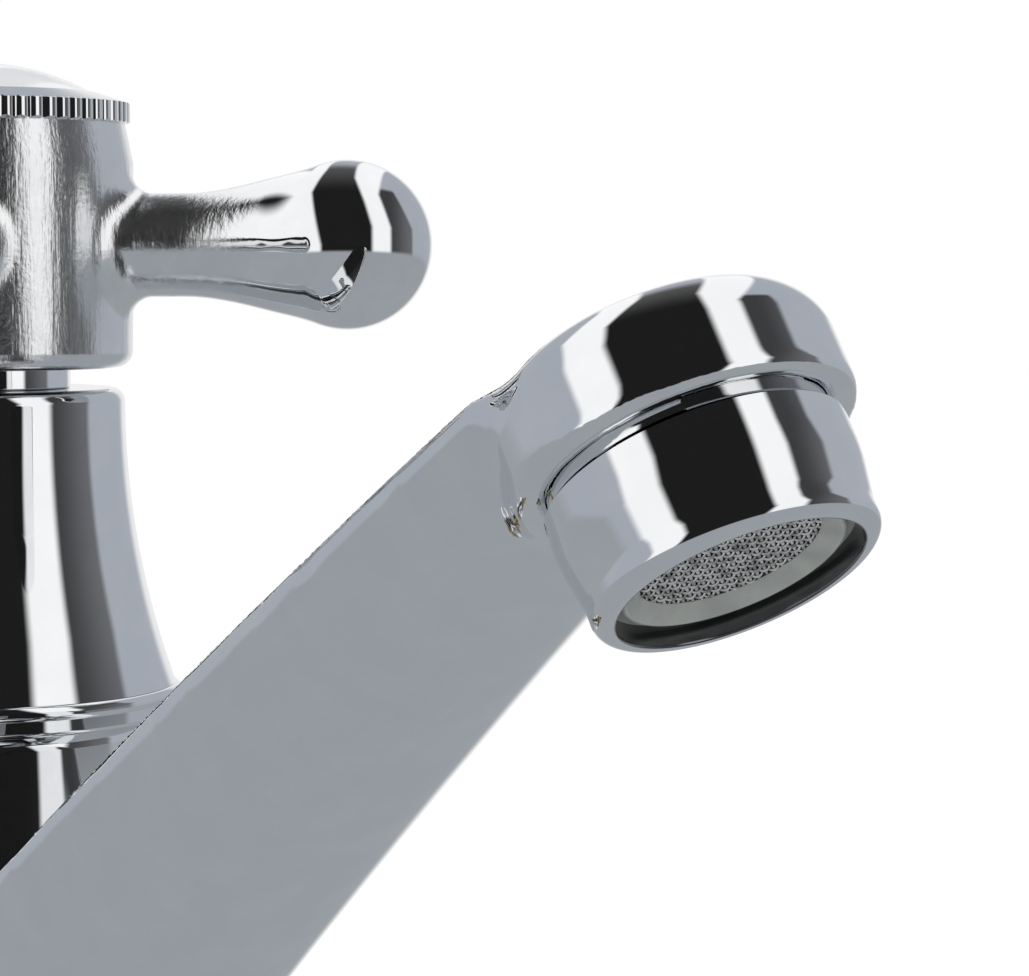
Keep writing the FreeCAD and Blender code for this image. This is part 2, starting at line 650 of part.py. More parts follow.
def is_arm_root(edge):
    """True for the closed curve where an arm leaves the hub."""
    box = edge.BoundBox
    narrow = ARM_NECK_RADIUS * 2.2
    if box.ZLength < ARM_NECK_RADIUS or box.ZLength > narrow:
        return False
    middle = edge.CenterOfMass
    return abs(math.hypot(middle.x, middle.y) - HUB_RADIUS) < 2.5


cross = cross.makeFillet(HUB_FILLET, [edge for edge in cross.Edges if is_arm_root(edge)])
index_thread = INDEX_SKIRT_RADIUS + THREAD_GAP
bush_room = BUSH_RADIUS + SLIP
cross = cross.cut([
    rod(HUB_BASE_RADIUS - HUB_SKIRT_WALL, hub_bottom, skirt_top),
    rod(bush_room, skirt_top, web_bottom),
    rod(HANDLE_SCREW_RADIUS + PLAY, web_bottom, web_top),
    rod(index_thread, web_top, hub_top)])
save("handle_cross", cross.removeSplitter())

bush = rod(BUSH_RADIUS, spline_bottom, spindle_top).cut(rod(SPINDLE_RADIUS + SLIP, spline_bottom, spindle_top))
save("spline_bush", bush)

washer_top = web_top + SCREW_WASHER_THICKNESS
save("screw_washer", tube(
    HANDLE_SCREW_HEAD_RADIUS, HANDLE_SCREW_RADIUS + PLAY, web_top, washer_top))
handle_screw = rod(HANDLE_SCREW_RADIUS, spindle_top - HANDLE_SCREW_GRIP, washer_top).fuse(turned([
    (0, washer_top),
    (HANDLE_SCREW_HEAD_RADIUS, washer_top),
    (HANDLE_SCREW_HEAD_RADIUS, washer_top + HANDLE_SCREW_HEAD, 0.8),
    (0, washer_top + HANDLE_SCREW_HEAD)]))
screw_slot = Part.makeBox(
    2 * HANDLE_SCREW_HEAD_RADIUS, HANDLE_SCREW_SLOT, HANDLE_SCREW_SLOT,
    Vector(-HANDLE_SCREW_HEAD_RADIUS, -HANDLE_SCREW_SLOT / 2,
           washer_top + HANDLE_SCREW_HEAD - HANDLE_SCREW_SLOT))
save("handle_screw", handle_screw.cut(screw_slot).removeSplitter())

# ---------------------------------------------------------------- index ring and porcelain disc
disc_room = DISC_RADIUS + SLIP
skirt_bottom = index_bottom - INDEX_SKIRT
index_ring = turned([
    (INDEX_BORE, skirt_bottom),
    (INDEX_SKIRT_RADIUS, skirt_bottom, 0.4),
    (INDEX_SKIRT_RADIUS, index_bottom),
    (INDEX_RADIUS, index_bottom, 0.2),
    (INDEX_RADIUS, index_top, 0.2),
    (disc_room + 0.4, bevel_top, 0.2),
    (disc_room, bevel_top),
    (disc_room, disc_bottom),
    (INDEX_BORE, disc_bottom)])
flute = Part.makeCylinder(
    FLUTE_DEPTH, INDEX_HEIGHT, Vector(INDEX_RADIUS, 0, index_bottom))
save("index_ring", index_ring.cut(around(flute, FLUTE_COUNT)))

dome_radius = (DISC_RADIUS ** 2 + DISC_DOME ** 2) / (2 * DISC_DOME)
disc = rod(DISC_RADIUS, disc_bottom, bevel_top + DISC_DOME).common(
    Part.makeSphere(dome_radius, Vector(0, 0, bevel_top + DISC_DOME - dome_radius)))
save("index_disc", disc)

save("index_o_ring", o_ring(
    INDEX_BORE - INDEX_RING_SECTION - SLIP, INDEX_RING_SECTION, disc_bottom - INDEX_RING_SECTION - SLIP))

# ---------------------------------------------------------------- aerator, in the outlet's frame
thread_room = SPIGOT_RADIUS + THREAD_GAP
insert_flange_radius = SPIGOT_RADIUS - 0.7
insert_flange_bottom = SHELL_LEDGE
insert_flange_top = insert_flange_bottom + INSERT_FLANGE_THICKNESS
shell = turned([
    (OUTLET_RADIUS, 0, 0.2),
    (SHELL_LIP_RADIUS, 0, SHELL_LIP_ROUNDING),
    (SHELL_LIP_RADIUS, SHELL_LIP_START),
    (SHELL_RADIUS, SHELL_TAPER_START),
    (SHELL_RADIUS, SHELL_TOP - SHELL_TOP_CHAMFER),
    (SHELL_RADIUS - SHELL_TOP_CHAMFER, SHELL_TOP),
    (thread_room, SHELL_TOP),
    (thread_room, insert_flange_top),
    (insert_flange_radius + SLIP, insert_flange_top),
    (insert_flange_radius + SLIP, SHELL_LEDGE),
    (OUTLET_RADIUS, SHELL_LEDGE)])
save("aerator_shell", at_outlet(shell))

insert_body = min(SPIGOT_BORE - PLAY, INSERT_NOSE_RADIUS)
screen_top = SCREEN_PLACE + SCREEN_THICKNESS
screen_room = SCREEN_RADIUS + SCREEN_EDGE + SLIP
insert = turned([
    (SCREEN_RADIUS, SCREEN_PLACE),
    (INSERT_NOSE_RADIUS - 0.3, INSERT_NOSE, 0.3),
    (INSERT_NOSE_RADIUS, INSERT_NOSE + 0.2),
    (INSERT_NOSE_RADIUS, insert_flange_bottom),
    (insert_flange_radius, insert_flange_bottom),
    (insert_flange_radius, insert_flange_top),
    (insert_body, insert_flange_top),
    (insert_body, INSERT_DEPTH),
    (insert_body - INSERT_WALL, INSERT_DEPTH),
    (insert_body - INSERT_WALL, DIFFUSER_PLACE),
    (screen_room - 0.6, DIFFUSER_PLACE),
    (screen_room - 0.6, screen_top + 0.6),
    (screen_room, screen_top + 0.6),
    (screen_room, SCREEN_PLACE + SLIP),
    (SCREEN_RADIUS, SCREEN_PLACE + SLIP)])
save("aerator_insert", at_outlet(insert))

screen = rod(SCREEN_RADIUS + SCREEN_EDGE, SCREEN_PLACE + SLIP, screen_top)
save("aerator_screen", at_outlet(screen))

diffuser_radius = insert_body - INSERT_WALL - SLIP
diffuser = rod(diffuser_radius, DIFFUSER_PLACE, DIFFUSER_PLACE + DIFFUSER_THICKNESS)
holes = []
for ring in range(1, DIFFUSER_RINGS + 1):
    hole = Part.makeCylinder(
        DIFFUSER_HOLE_RADIUS, DIFFUSER_THICKNESS, Vector(ring * DIFFUSER_RING_PITCH, 0, DIFFUSER_PLACE))
    holes += around(hole, 6 * ring)
save("aerator_diffuser", at_outlet(diffuser.cut(holes)))

inlet_screen = turned([
    (0, DIFFUSER_PLACE + DIFFUSER_THICKNESS),
    (diffuser_radius, DIFFUSER_PLACE + DIFFUSER_THICKNESS),
    (diffuser_radius, DIFFUSER_PLACE + DIFFUSER_THICKNESS + SCREEN_THICKNESS),
    (0, INSERT_DEPTH)])
save("aerator_inlet_screen", at_outlet(inlet_screen))

save("aerator_seal", at_outlet(tube(
    insert_flange_radius, insert_body + SLIP, insert_flange_top, SPIGOT_END)))
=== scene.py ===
import math

import bmesh
import bpy
import numpy as np
from mathutils import Matrix, Vector


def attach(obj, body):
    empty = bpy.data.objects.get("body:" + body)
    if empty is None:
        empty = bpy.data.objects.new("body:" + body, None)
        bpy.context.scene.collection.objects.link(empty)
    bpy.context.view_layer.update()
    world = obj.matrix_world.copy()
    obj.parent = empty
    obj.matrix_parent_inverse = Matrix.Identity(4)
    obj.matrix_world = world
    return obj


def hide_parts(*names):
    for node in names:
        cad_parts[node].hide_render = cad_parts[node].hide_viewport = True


# A pillar tap with a cross handle. Sizes are in millimetres until a mesh is made.
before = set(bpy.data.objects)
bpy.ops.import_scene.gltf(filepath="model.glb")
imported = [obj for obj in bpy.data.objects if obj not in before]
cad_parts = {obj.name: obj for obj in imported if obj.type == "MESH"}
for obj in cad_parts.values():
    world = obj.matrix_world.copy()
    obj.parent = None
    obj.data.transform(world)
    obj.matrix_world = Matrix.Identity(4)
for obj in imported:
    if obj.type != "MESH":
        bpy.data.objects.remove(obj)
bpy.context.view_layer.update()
MM = 0.001

# ---------------------------------------------------------------- studio
# The tap stands in a white room with a black screen round the camera, long lamps on both
# sides of it and a dark screen on the right, which polished metal shows as bands. For
# everything else the room is plain and white.
scene = bpy.context.scene
scene.view_settings.view_transform = "Standard"

CAMERA_PLACE = (-0.1472, -0.2835, 0.108)
CAMERA_TURN = 37.0           # degrees right of straight ahead
CAMERA_DROP = 4.07           # degrees below level
CAMERA_LENS = 110.2

camera_data = bpy.data.cameras.new("camera")
camera_data.lens = CAMERA_LENS
camera_data.sensor_width = 36.0
camera_data.clip_start = 0.01
camera_data.clip_end = 20.0
camera = bpy.data.objects.new("camera", camera_data)
camera.location = CAMERA_PLACE
camera.rotation_euler = (math.radians(90 - CAMERA_DROP), 0, math.radians(-CAMERA_TURN))
scene.collection.objects.link(camera)
scene.camera = camera


class Wire:
    """One output in a node tree, so that shader maths reads as plain arithmetic."""

    def __init__(self, tree, socket):
        self.tree = tree
        self.socket = socket

    def maths(self, operation, *values):
        inputs = dict(enumerate((self,) + values))
        return self.tree.node("ShaderNodeMath", {"operation": operation}, inputs)

    def __add__(self, other):
        return self.maths("ADD", other)

    __radd__ = __add__

    def __mul__(self, other):
        return self.maths("MULTIPLY", other)

    __rmul__ = __mul__

    def __sub__(self, other):
        return self.maths("SUBTRACT", other)

    def __rsub__(self, other):
        return self * -1 + other

    def __truediv__(self, other):
        return self.maths("DIVIDE", other)

    def __gt__(self, other):
        return self.maths("GREATER_THAN", other)

    def between(self, low, high):
        """0 below low, 1 above high and a smooth step from one to the other."""
        return self.tree.node(
            "ShaderNodeMapRange", {"interpolation_type": "SMOOTHSTEP"},
            {"Value": self, "From Min": low, "From Max": high})


class Tree:
    """A node tree that is filled by calls to one method."""

    def __init__(self, node_tree):
        self.nodes = node_tree.nodes
        self.links = node_tree.links

    def node(self, kind, settings=None, inputs=None, output=0):
        """Add a node: its settings first, then the values or links of its sockets."""
        made = self.nodes.new(kind)
        for name, value in (settings or {}).items():
            setattr(made, name, value)
        for name, value in (inputs or {}).items():
            if isinstance(value, Wire):
                self.links.new(value.socket, made.inputs[name])
            else:
                made.inputs[name].default_value = value
        return Wire(self, made.outputs[output]) if len(made.outputs) else made

    def parts(self, vector):
        """The X, Y and Z of a vector."""
        split = self.node("ShaderNodeSeparateXYZ", None, {0: vector}).socket.node
        return [Wire(self, part) for part in split.outputs]


def grey(level):
    return (level, level, level)


world = bpy.data.worlds.new("studio")
world.use_nodes = True
world.node_tree.nodes.clear()
scene.world = world
room = Tree(world.node_tree)

# The room as polished metal shows it. Across and Over are degrees right of and above the
# direction back to the camera. Each edge lists its places as (over, across).
BLACK_LEFT = ((0, -33), (77, -52), (123, -38))
BLACK_RIGHT = ((25, 37), (62, 26), (103, 11))
LAMP_LEFT = ((0, -62), (77, -88), (123, -69))
LAMP_RIGHT = ((25, 64), (75, 47), (139, 58))
DARK_RIGHT = ((25, 102), (85, 72))
DARK_TOP = (82, 90)
EDGE = 3.5                       # softness of an edge, in degrees
HORIZON = (-11.0, -6.0)
BACKDROP = (150.0, 165.0)        # degrees away from the camera where the white paper begins
BLACK = 0.014
BLACK_OVERHEAD = 0.10
BLACK_FADE = (75.0, 130.0)
CEILING = (122.0, 146.0)
DARK = (0.055, 0.055, 0.057)
DARK_FAR = (0.165, 0.17, 0.18)
DARK_FADE = (60.0, 105.0)
PALE = (0.44, 0.47, 0.52)
WHITE = 1.1
PAPER = 0.9
GROUND = (0.365, 0.39, 0.415)
DAYLIGHT = 1.06                  # of the plain room that lights matt things

towards = room.node("ShaderNodeTexCoord", output="Generated")
facing = math.radians(CAMERA_TURN)


def along_direction(direction):
    return room.node(
        "ShaderNodeVectorMath", {"operation": "DOT_PRODUCT"}, {0: towards, 1: direction}, output="Value")


to_right = along_direction((math.cos(facing), -math.sin(facing), 0))
to_camera = along_direction((-math.sin(facing), -math.cos(facing), 0))
upward = along_direction((0, 0, 1))
away = to_camera.maths("ARCCOSINE") * math.degrees(1)
sideways = (to_right * to_right + upward * upward + 1e-6).maths("SQRT")
across = to_right / sideways * away
over = upward / sideways * away


def edge(stops, softness=EDGE):
    """0 left of a bent edge and 1 right of it."""
    place = stops[0][1]
    for (low, start), (high, end) in zip(stops, stops[1:]):
        share = room.node("ShaderNodeMapRange", None, {"Value": over, "From Min": low, "From Max": high})
        place = share * (end - start) + place
    return (across - place).between(-softness, softness)


def mixed(tree, share, first, second):
    return tree.node(
        "ShaderNodeMix", {"data_type": "RGBA"},
        {0: share, 6: first if isinstance(first, Wire) else (*first, 1.0),
         7: second if isinstance(second, Wire) else (*second, 1.0)}, output=2)


black = mixed(room, over.between(*BLACK_FADE), grey(BLACK), grey(BLACK_OVERHEAD))
black = mixed(room, over.between(*CEILING), black, PALE)
screen = mixed(room, across.between(*DARK_FADE), DARK, DARK_FAR)
dark = mixed(room, over.between(*DARK_TOP), screen, PALE)
seen = mixed(room, edge(LAMP_LEFT), PALE, grey(WHITE))
seen = mixed(room, edge(BLACK_LEFT), seen, black)
seen = mixed(room, edge(BLACK_RIGHT), seen, grey(WHITE))
seen = mixed(room, edge(LAMP_RIGHT), seen, dark)
seen = mixed(room, edge(DARK_RIGHT), seen, PALE)
seen = mixed(room, (upward.maths("ARCSINE") * math.degrees(1)).between(*HORIZON), GROUND, seen)
seen = mixed(room, away.between(*BACKDROP), seen, grey(PAPER))

glossy_rays = room.node("ShaderNodeLightPath", output="Is Glossy Ray")
camera_rays = room.node("ShaderNodeLightPath", output="Is Camera Ray")
lit = mixed(room, glossy_rays, grey(DAYLIGHT), seen)
lit = mixed(room, camera_rays, lit, grey(1.0))
sky = room.node("ShaderNodeBackground", None, {"Color": lit, "Strength": 1.0})
room.node("ShaderNodeOutputWorld", None, {"Surface": sky})


# ---------------------------------------------------------------- polished chrome
# The plating on the body, bonnet, index ring and shell: mirror bright, with the faint
# waviness of a polished casting and a few wiping marks.


def start_material(name):
    """An empty node material, its tree and its Object coordinates in millimetres."""
    material = bpy.data.materials.new(name)
    material.use_nodes = True
    material.node_tree.nodes.clear()
    tree = Tree(material.node_tree)
    place = tree.node("ShaderNodeTexCoord", output="Object")
    place = tree.node(
        "ShaderNodeVectorMath", {"operation": "SCALE"}, {0: place, "Scale": 1000.0})
    return material, tree, place


def finish_material(tree, **sockets):
    """The Principled shader with these sockets; a name's underscores stand for spaces."""
    inputs = {}
    for name, value in sockets.items():
        if isinstance(value, tuple) and len(value) == 3:
            value = (*value, 1.0)
        inputs[name.replace("_", " ")] = value
    shader = tree.node("ShaderNodeBsdfPrincipled", None, inputs)
    tree.node("ShaderNodeOutputMaterial", None, {"Surface": shader})


def noise(tree, place, scale, detail=3.0, stretch=None):
    """Soft noise whose lumps are 1 / scale millimetres across."""
    if stretch:
        place = tree.node("ShaderNodeVectorMath", {"operation": "MULTIPLY"}, {0: place, 1: stretch})
    return tree.node(
        "ShaderNodeTexNoise", None, {"Vector": place, "Scale": scale, "Detail": detail})


def bump(tree, level, depth):
    """A surface normal from a height in millimetres."""
    return tree.node("ShaderNodeBump", None, {"Height": level, "Distance": depth * MM})


def polished_chrome(name, free_of_painted_shade=None):
    """Mirror chrome. The optional share gives where it stays bright (1) and where a dark colour is painted
    on as shade, with more roughness (0).
    """
    material, tree, place = start_material(name)
    marks = noise(tree, place, 0.22, 4.0)
    haze = noise(tree, place, 1.7, 5.0)
    waves = noise(tree, place, 0.06, 1.0)
    shade = mixed(tree, marks.between(0.35, 0.75), (0.80, 0.81, 0.825), (0.84, 0.845, 0.85))
    roughness = 0.018 + haze.between(0.5, 0.8) * 0.03
    # Painted shade: where the share is 0 the colour is made dark and the surface rougher.
    if free_of_painted_shade:
        unshaded = free_of_painted_shade(tree, place)
        shade = mixed(tree, unshaded, (0.20, 0.20, 0.205), shade)
        roughness = roughness + (1 - unshaded) * 0.14
    finish_material(
        tree, Base_Color=shade, Metallic=1.0, Roughness=roughness, Normal=bump(tree, waves, 0.06))
    return material


chrome = polished_chrome("polished_chrome")

# ---------------------------------------------------------------- body casting
# One brass casting, chrome plated: flange, barrel and the rising spout arm that ends in
# a round boss. The arm has a nearly flat top and a full, rounded underside.
BODY_RADIUS = 16.4
BODY_TOP = 63.0
BODY_SHOULDER = 1.8
BARREL_BAND = (13.0, 59.5)       # heights between which the arm may join the barrel
BARREL_SPARE = 3.0               # drawn past the band, then trimmed
FLANGE_RADIUS = 25.0
FLANGE_BOTTOM = 1.2
FLANGE_TOP = 4.8
STEP_RADIUS = 21.2
STEP_TOP = 6.0
COVE = 3.84
CHAMBER_RADIUS = 13.0
CHAMBER_FLOOR = 18.0
INLET_RADIUS = 7.0
HEADWORK_BORE = 10.56
HEADWORK_BORE_END = 49.0
TAIL_RADIUS = 13.22

SPOUT_REACH = 115.0
OUTLET_HEIGHT = 85.2
OUTLET_TILT = 33.5
ARM_TOP = 19.3
ARM_CROWN = 0.8
ARM_ARCH = 1.3
ARM_RUN = 120.0
ARM_HALF_WIDTHS = (12.6, 16.0)
ARM_DEPTHS = (7.7, 23.0)
ARM_FULLNESS = 2.3
ARM_EDGE = 1.1
ARM_BLEND = 2.4
ARM_LEAST_BLEND = 0.35          # where the surfaces lie flush
ARM_DRAWN_IN = 0.16              # per millimetre, on its way into the boss
ARM_ENDS = (2.0, 1.0)            # distances from the boss's axis and the barrel's
BOSS_RADIUS = 13.3
BOSS_END = 10.2
BOSS_TOP = 20.6
BOSS_DOME = 2.0
BOSS_TOP_EDGE = 3.0
BOSS_END_EDGE = 0.9

outlet_turn = Matrix.Rotation(math.radians(-OUTLET_TILT), 3, "X")
outlet_turn = np.array(outlet_turn)
outlet_place = np.array((0.0, -SPOUT_REACH, OUTLET_HEIGHT))


def from_outlet(points):
    """Points in the outlet's frame (Z up the outlet axis, Y back along the arm) to the tap's."""
    return points @ outlet_turn.T + outlet_place


def unit(vectors):
    return vectors / np.maximum(np.linalg.norm(vectors, axis=-1, keepdims=True), 1e-12)


def inside_both(first, second, rounding):
    """The distance to what two solids share, with their common edge rounded."""
    a, b = first[0], second[0]
    reach_a = np.maximum(a + rounding, 1e-6)
    reach_b = np.maximum(b + rounding, 1e-6)
    joined = np.minimum(np.maximum(a, b), -rounding) + np.hypot(
        np.maximum(a + rounding, 0), np.maximum(b + rounding, 0))
    facing_out = unit(first[1] * reach_a[:, None] + second[1] * reach_b[:, None])
    return joined, facing_out


def joined_with_fillet(first, second, blend):
    """The distance to two solids joined by a fillet, which fades out where they lie flush."""
    a, b = first[0], second[0]
    turn = 1 - np.clip((first[1] * second[1]).sum(1), 0, 1)
    blend = np.maximum(blend * np.sqrt(turn), ARM_LEAST_BLEND)
    near_a = np.maximum(blend - a, 0)
    near_b = np.maximum(blend - b, 0)
    joined = np.maximum(np.minimum(a, b), blend) - np.hypot(near_a, near_b)
    first_closer = (a < b)[:, None]
    return joined, np.where(first_closer, first[1], second[1])


def spout_arm(points):
    across, along, up = ((points - outlet_place) @ outlet_turn).T
    share = np.clip(along / ARM_RUN, 0, 1)
    half_width = ARM_HALF_WIDTHS[0] + (ARM_HALF_WIDTHS[1] - ARM_HALF_WIDTHS[0]) * share
    depth = ARM_DEPTHS[0] + (ARM_DEPTHS[1] - ARM_DEPTHS[0]) * share
    top = ARM_TOP + 4 * ARM_ARCH * share * (1 - share)
    sideways = across / half_width
    over = up - top - ARM_CROWN * (1 - sideways ** 2)
    over_normal = unit(np.stack(
        (2 * ARM_CROWN * sideways / half_width, np.zeros_like(up), np.ones_like(up)), 1))
    wide = np.maximum(np.abs(sideways), 1e-4)
    deep = np.maximum((top - up) / depth, 1e-4)
    size = (wide ** ARM_FULLNESS + deep ** ARM_FULLNESS) ** (1 / ARM_FULLNESS)
    slope_x = (wide / size) ** (ARM_FULLNESS - 1) / half_width * np.sign(across)
    slope_z = -(deep / size) ** (ARM_FULLNESS - 1) / depth
    steepness = np.hypot(slope_x, slope_z)
    under = (size - 1) / np.maximum(steepness, 0.01)
    under_normal = unit(np.stack((slope_x, np.zeros_like(up), slope_z), 1))
    shell = inside_both((over, over_normal), (under, under_normal), ARM_EDGE)
    drawn_in = ARM_DRAWN_IN * np.maximum(BOSS_RADIUS / 2 - along, 0)
    limit = np.maximum(
        np.maximum(shell[0] + drawn_in, ARM_ENDS[0] - along), points[:, 1] + ARM_ENDS[1])
    return limit, shell[1] @ outlet_turn.T


def spout_boss(points):
    across, along, up = ((points - outlet_place) @ outlet_turn).T
    out = np.maximum(np.hypot(across, along), 1e-6)
    nothing = np.zeros_like(up)
    side = (out - BOSS_RADIUS, np.stack((across / out, along / out, nothing), 1))
    ball = (BOSS_RADIUS ** 2 + BOSS_DOME ** 2) / (2 * BOSS_DOME)
    from_ball = np.stack((across, along, up - (BOSS_TOP - ball)), 1)
    dome = (np.linalg.norm(from_ball, axis=1) - ball, unit(from_ball))
    end = (BOSS_END - up, np.stack((nothing, nothing, nothing - 1), 1))
    shape = inside_both(side, dome, BOSS_TOP_EDGE)
    shape = inside_both(shape, end, BOSS_END_EDGE)
    return shape[0], shape[1] @ outlet_turn.T


def barrel(points):
    out = np.maximum(np.hypot(points[:, 0], points[:, 1]), 1e-6)
    side = np.stack((points[:, 0] / out, points[:, 1] / out, np.zeros_like(out)), 1)
    return out - BODY_RADIUS, side


def casting(points):
    """Distance to the outside of the casting between the flange and the shoulder."""
    spout = joined_with_fillet(spout_arm(points), spout_boss(points), ARM_BLEND)
    column = barrel(points)
    height = points[:, 2]
    limit = np.maximum(
        BARREL_BAND[0] - BARREL_SPARE - height, height - BARREL_BAND[1] - BARREL_SPARE)
    column = (np.maximum(column[0], limit), column[1])
    return joined_with_fillet(spout, column, ARM_BLEND)[0]


def steepest(field, points, step=0.02):
    """Gradient of a distance, by central differences."""
    slopes = []
    for axis in range(3):
        shift = np.zeros(3)
        shift[axis] = step
        slopes.append((field(points + shift) - field(points - shift)) / (2 * step))
    return np.stack(slopes, 1)


def settled(field, points, rounds, longest=0.5):
    """Points moved along the gradient on to the surface."""
    for _ in range(rounds):
        slope = steepest(field, points)
        length = np.maximum((slope ** 2).sum(1), 0.05)
        move = field(points)[:, None] * slope / length[:, None]
        points = points - np.clip(move, -longest, longest)
    return points


CELL_CORNERS = np.array([(i, j, k) for i in (0, 1) for j in (0, 1) for k in (0, 1)])


def skin(field, low, high, pitch, rounds=4, evening=0.6):
    """A mesh of nearly square faces over the surface where a distance is zero.

    A fine grid is laid over the box, each cell that the surface crosses gets one point,
    and each grid edge that it crosses gets one face. The points are evened out in rounds.
    """
    counts = [int(math.ceil((high[a] - low[a]) / pitch)) + 1 for a in range(3)]
    axes = [low[a] + pitch * np.arange(counts[a]) for a in range(3)]
    values = np.empty(counts, np.float32)
    for i, x in enumerate(axes[0]):
        y, z = np.meshgrid(axes[1], axes[2], indexing="ij")
        sheet = np.stack((np.full(y.size, x), y.ravel(), z.ravel()), 1)
        values[i] = field(sheet).reshape(counts[1:])
    within = values < 0
    total = np.zeros([c - 1 for c in counts], np.int8)
    for i, j, k in CELL_CORNERS:
        total += within[i:counts[0] - 1 + i, j:counts[1] - 1 + j, k:counts[2] - 1 + k]
    crossed = (total > 0) & (total < 8)
    cells = np.argwhere(crossed)
    number = np.full(crossed.shape, -1, np.int64)
    number[crossed] = np.arange(len(cells))
    weight = np.zeros(len(cells))
    middle = np.zeros((len(cells), 3))
    for first in CELL_CORNERS:
        for axis in range(3):
            if first[axis]:
                continue
            second = first.copy()
            second[axis] = 1
            a = values[tuple((cells + first).T)]
            b = values[tuple((cells + second).T)]
            cut = (a < 0) != (b < 0)
            share = np.where(cut, a / np.where(cut, a - b, 1), 0)
            spot = first + share[:, None] * (second - first)
            middle += np.where(cut[:, None], spot, 0)
            weight += cut
    points = np.array(low) + pitch * (cells + middle / weight[:, None])
    faces = []
    for axis in range(3):
        b, c = (axis + 1) % 3, (axis + 2) % 3
        ends = [slice(1, -1)] * 3
        near, far = list(ends), list(ends)
        near[axis], far[axis] = slice(0, -1), slice(1, None)
        change = within[tuple(near)].astype(np.int8) - within[tuple(far)].astype(np.int8)
        edge = np.argwhere(change != 0)
        sign = change[tuple(edge.T)]
        offset = np.ones(3, int)
        offset[axis] = 0
        edge = edge + offset
        ring = []
        for db, dc in ((0, 0), (-1, 0), (-1, -1), (0, -1)):
            cell = edge.copy()
            cell[:, b] += db
            cell[:, c] += dc
            ring.append(number[tuple(cell.T)])
        ring = np.stack(ring, 1)
        ring[sign < 0] = ring[sign < 0][:, ::-1]
        faces.append(ring)
    faces = np.concatenate(faces)
    points = settled(field, points, 2)
    for _ in range(rounds):
        gathered = np.zeros_like(points)
        links = np.zeros(len(points))
        for step in (1, 2, 3):
            neighbours = np.roll(faces, step, axis=1)
            np.add.at(gathered, faces.ravel(), points[neighbours.ravel()])
            np.add.at(links, faces.ravel(), 1)
        points = points * (1 - evening) + evening * gathered / links[:, None]
        points = settled(field, points, 1)
    return settled(field, points, 2), faces


ARC_STEP = 9                     # degrees between the rows of a rounded edge


class Shell:
    """Points, faces and corner normals of one mesh, gathered bit by bit, in millimetres."""

    def __init__(self):
        self.points = []
        self.faces = []
        self.normals = []

    def add_points(self, points):
        start = len(self.points)
        self.points.extend(points)
        return list(range(start, len(self.points)))

    def add_ring(self, radius, height, angles):
        return self.add_points([(radius * math.cos(a), radius * math.sin(a), height) for a in angles])

    def add_face(self, corners, normals):
        self.faces.append(corners)
        self.normals.extend(normals)

    def join(self, inner, outer, up):
        """Level faces between two rings whose points differ, facing up (1) or down (-1)."""
        walks = []
        for ring in (inner, outer):
            spots = sorted((math.atan2(self.points[i][1], self.points[i][0]), i) for i in ring)
            first = spots[0]
            walks.append(spots + [(first[0] + 2 * math.pi, first[1])])
        i = j = 0
        while i < len(inner) or j < len(outer):
            step_in = j >= len(outer) or (i < len(inner) and walks[0][i + 1][0] < walks[1][j + 1][0])
            corners = [walks[0][i][1], walks[1][j][1]]
            if step_in:
                i += 1
            else:
                j += 1
            corners.append(walks[0][i][1] if step_in else walks[1][j][1])
            self.add_face(corners[::up], [(0, 0, up)] * 3)

    def turn(self, runs, angles, first=None, last=None):
        """Rows of faces turned about Z. first and last are rings of points that exist already."""
        around = np.stack((np.cos(angles), np.sin(angles)), 1)
        count = len(angles)
        ring = first
        for number, run in enumerate(runs):
            for i, (radius, height, _, _) in enumerate(run):
                if i == 0 and ring is not None:
                    continue
                before = ring
                final = number == len(runs) - 1 and i == len(run) - 1
                if final and last is not None:
                    ring = last
                elif radius < 1e-6:
                    ring = self.add_points([(0.0, 0.0, height)]) * count
                else:
                    ring = self.add_points(
                        [(radius * c, radius * s, height) for c, s in around])
                if before is None:
                    continue
                out_low, up_low = run[i - 1][2:]
                out_high, up_high = run[i][2:]
                for j in range(count):
                    k = (j + 1) % count
                    corners = [before[j], before[k], ring[k], ring[j]]
                    turned = [
                        (out_low * around[j][0], out_low * around[j][1], up_low),
                        (out_low * around[k][0], out_low * around[k][1], up_low),
                        (out_high * around[k][0], out_high * around[k][1], up_high),
                        (out_high * around[j][0], out_high * around[j][1], up_high)]
                    if corners[0] == corners[1]:
                        del corners[1], turned[1]
                    elif corners[2] == corners[3]:
                        del corners[3], turned[3]
                    self.add_face(corners, turned)
        return ring

    def make(self, name, material, outlet=False, own_normals=True):
        """The mesh object, at the origin and in metres."""
        points = np.array(self.points, float)
        normals = np.array(self.normals, float)
        if outlet:
            points = from_outlet(points)
            normals = normals @ outlet_turn.T
        mesh = bpy.data.meshes.new(name)
        mesh.from_pydata((points * MM).tolist(), [], self.faces)
        mesh.polygons.foreach_set("use_smooth", [True] * len(mesh.polygons))
        if own_normals:
            mesh.normals_split_custom_set(unit(normals).tolist())
        mesh.materials.append(material)
        made = bpy.data.objects.new(name, mesh)
        scene.collection.objects.link(made)
        return made


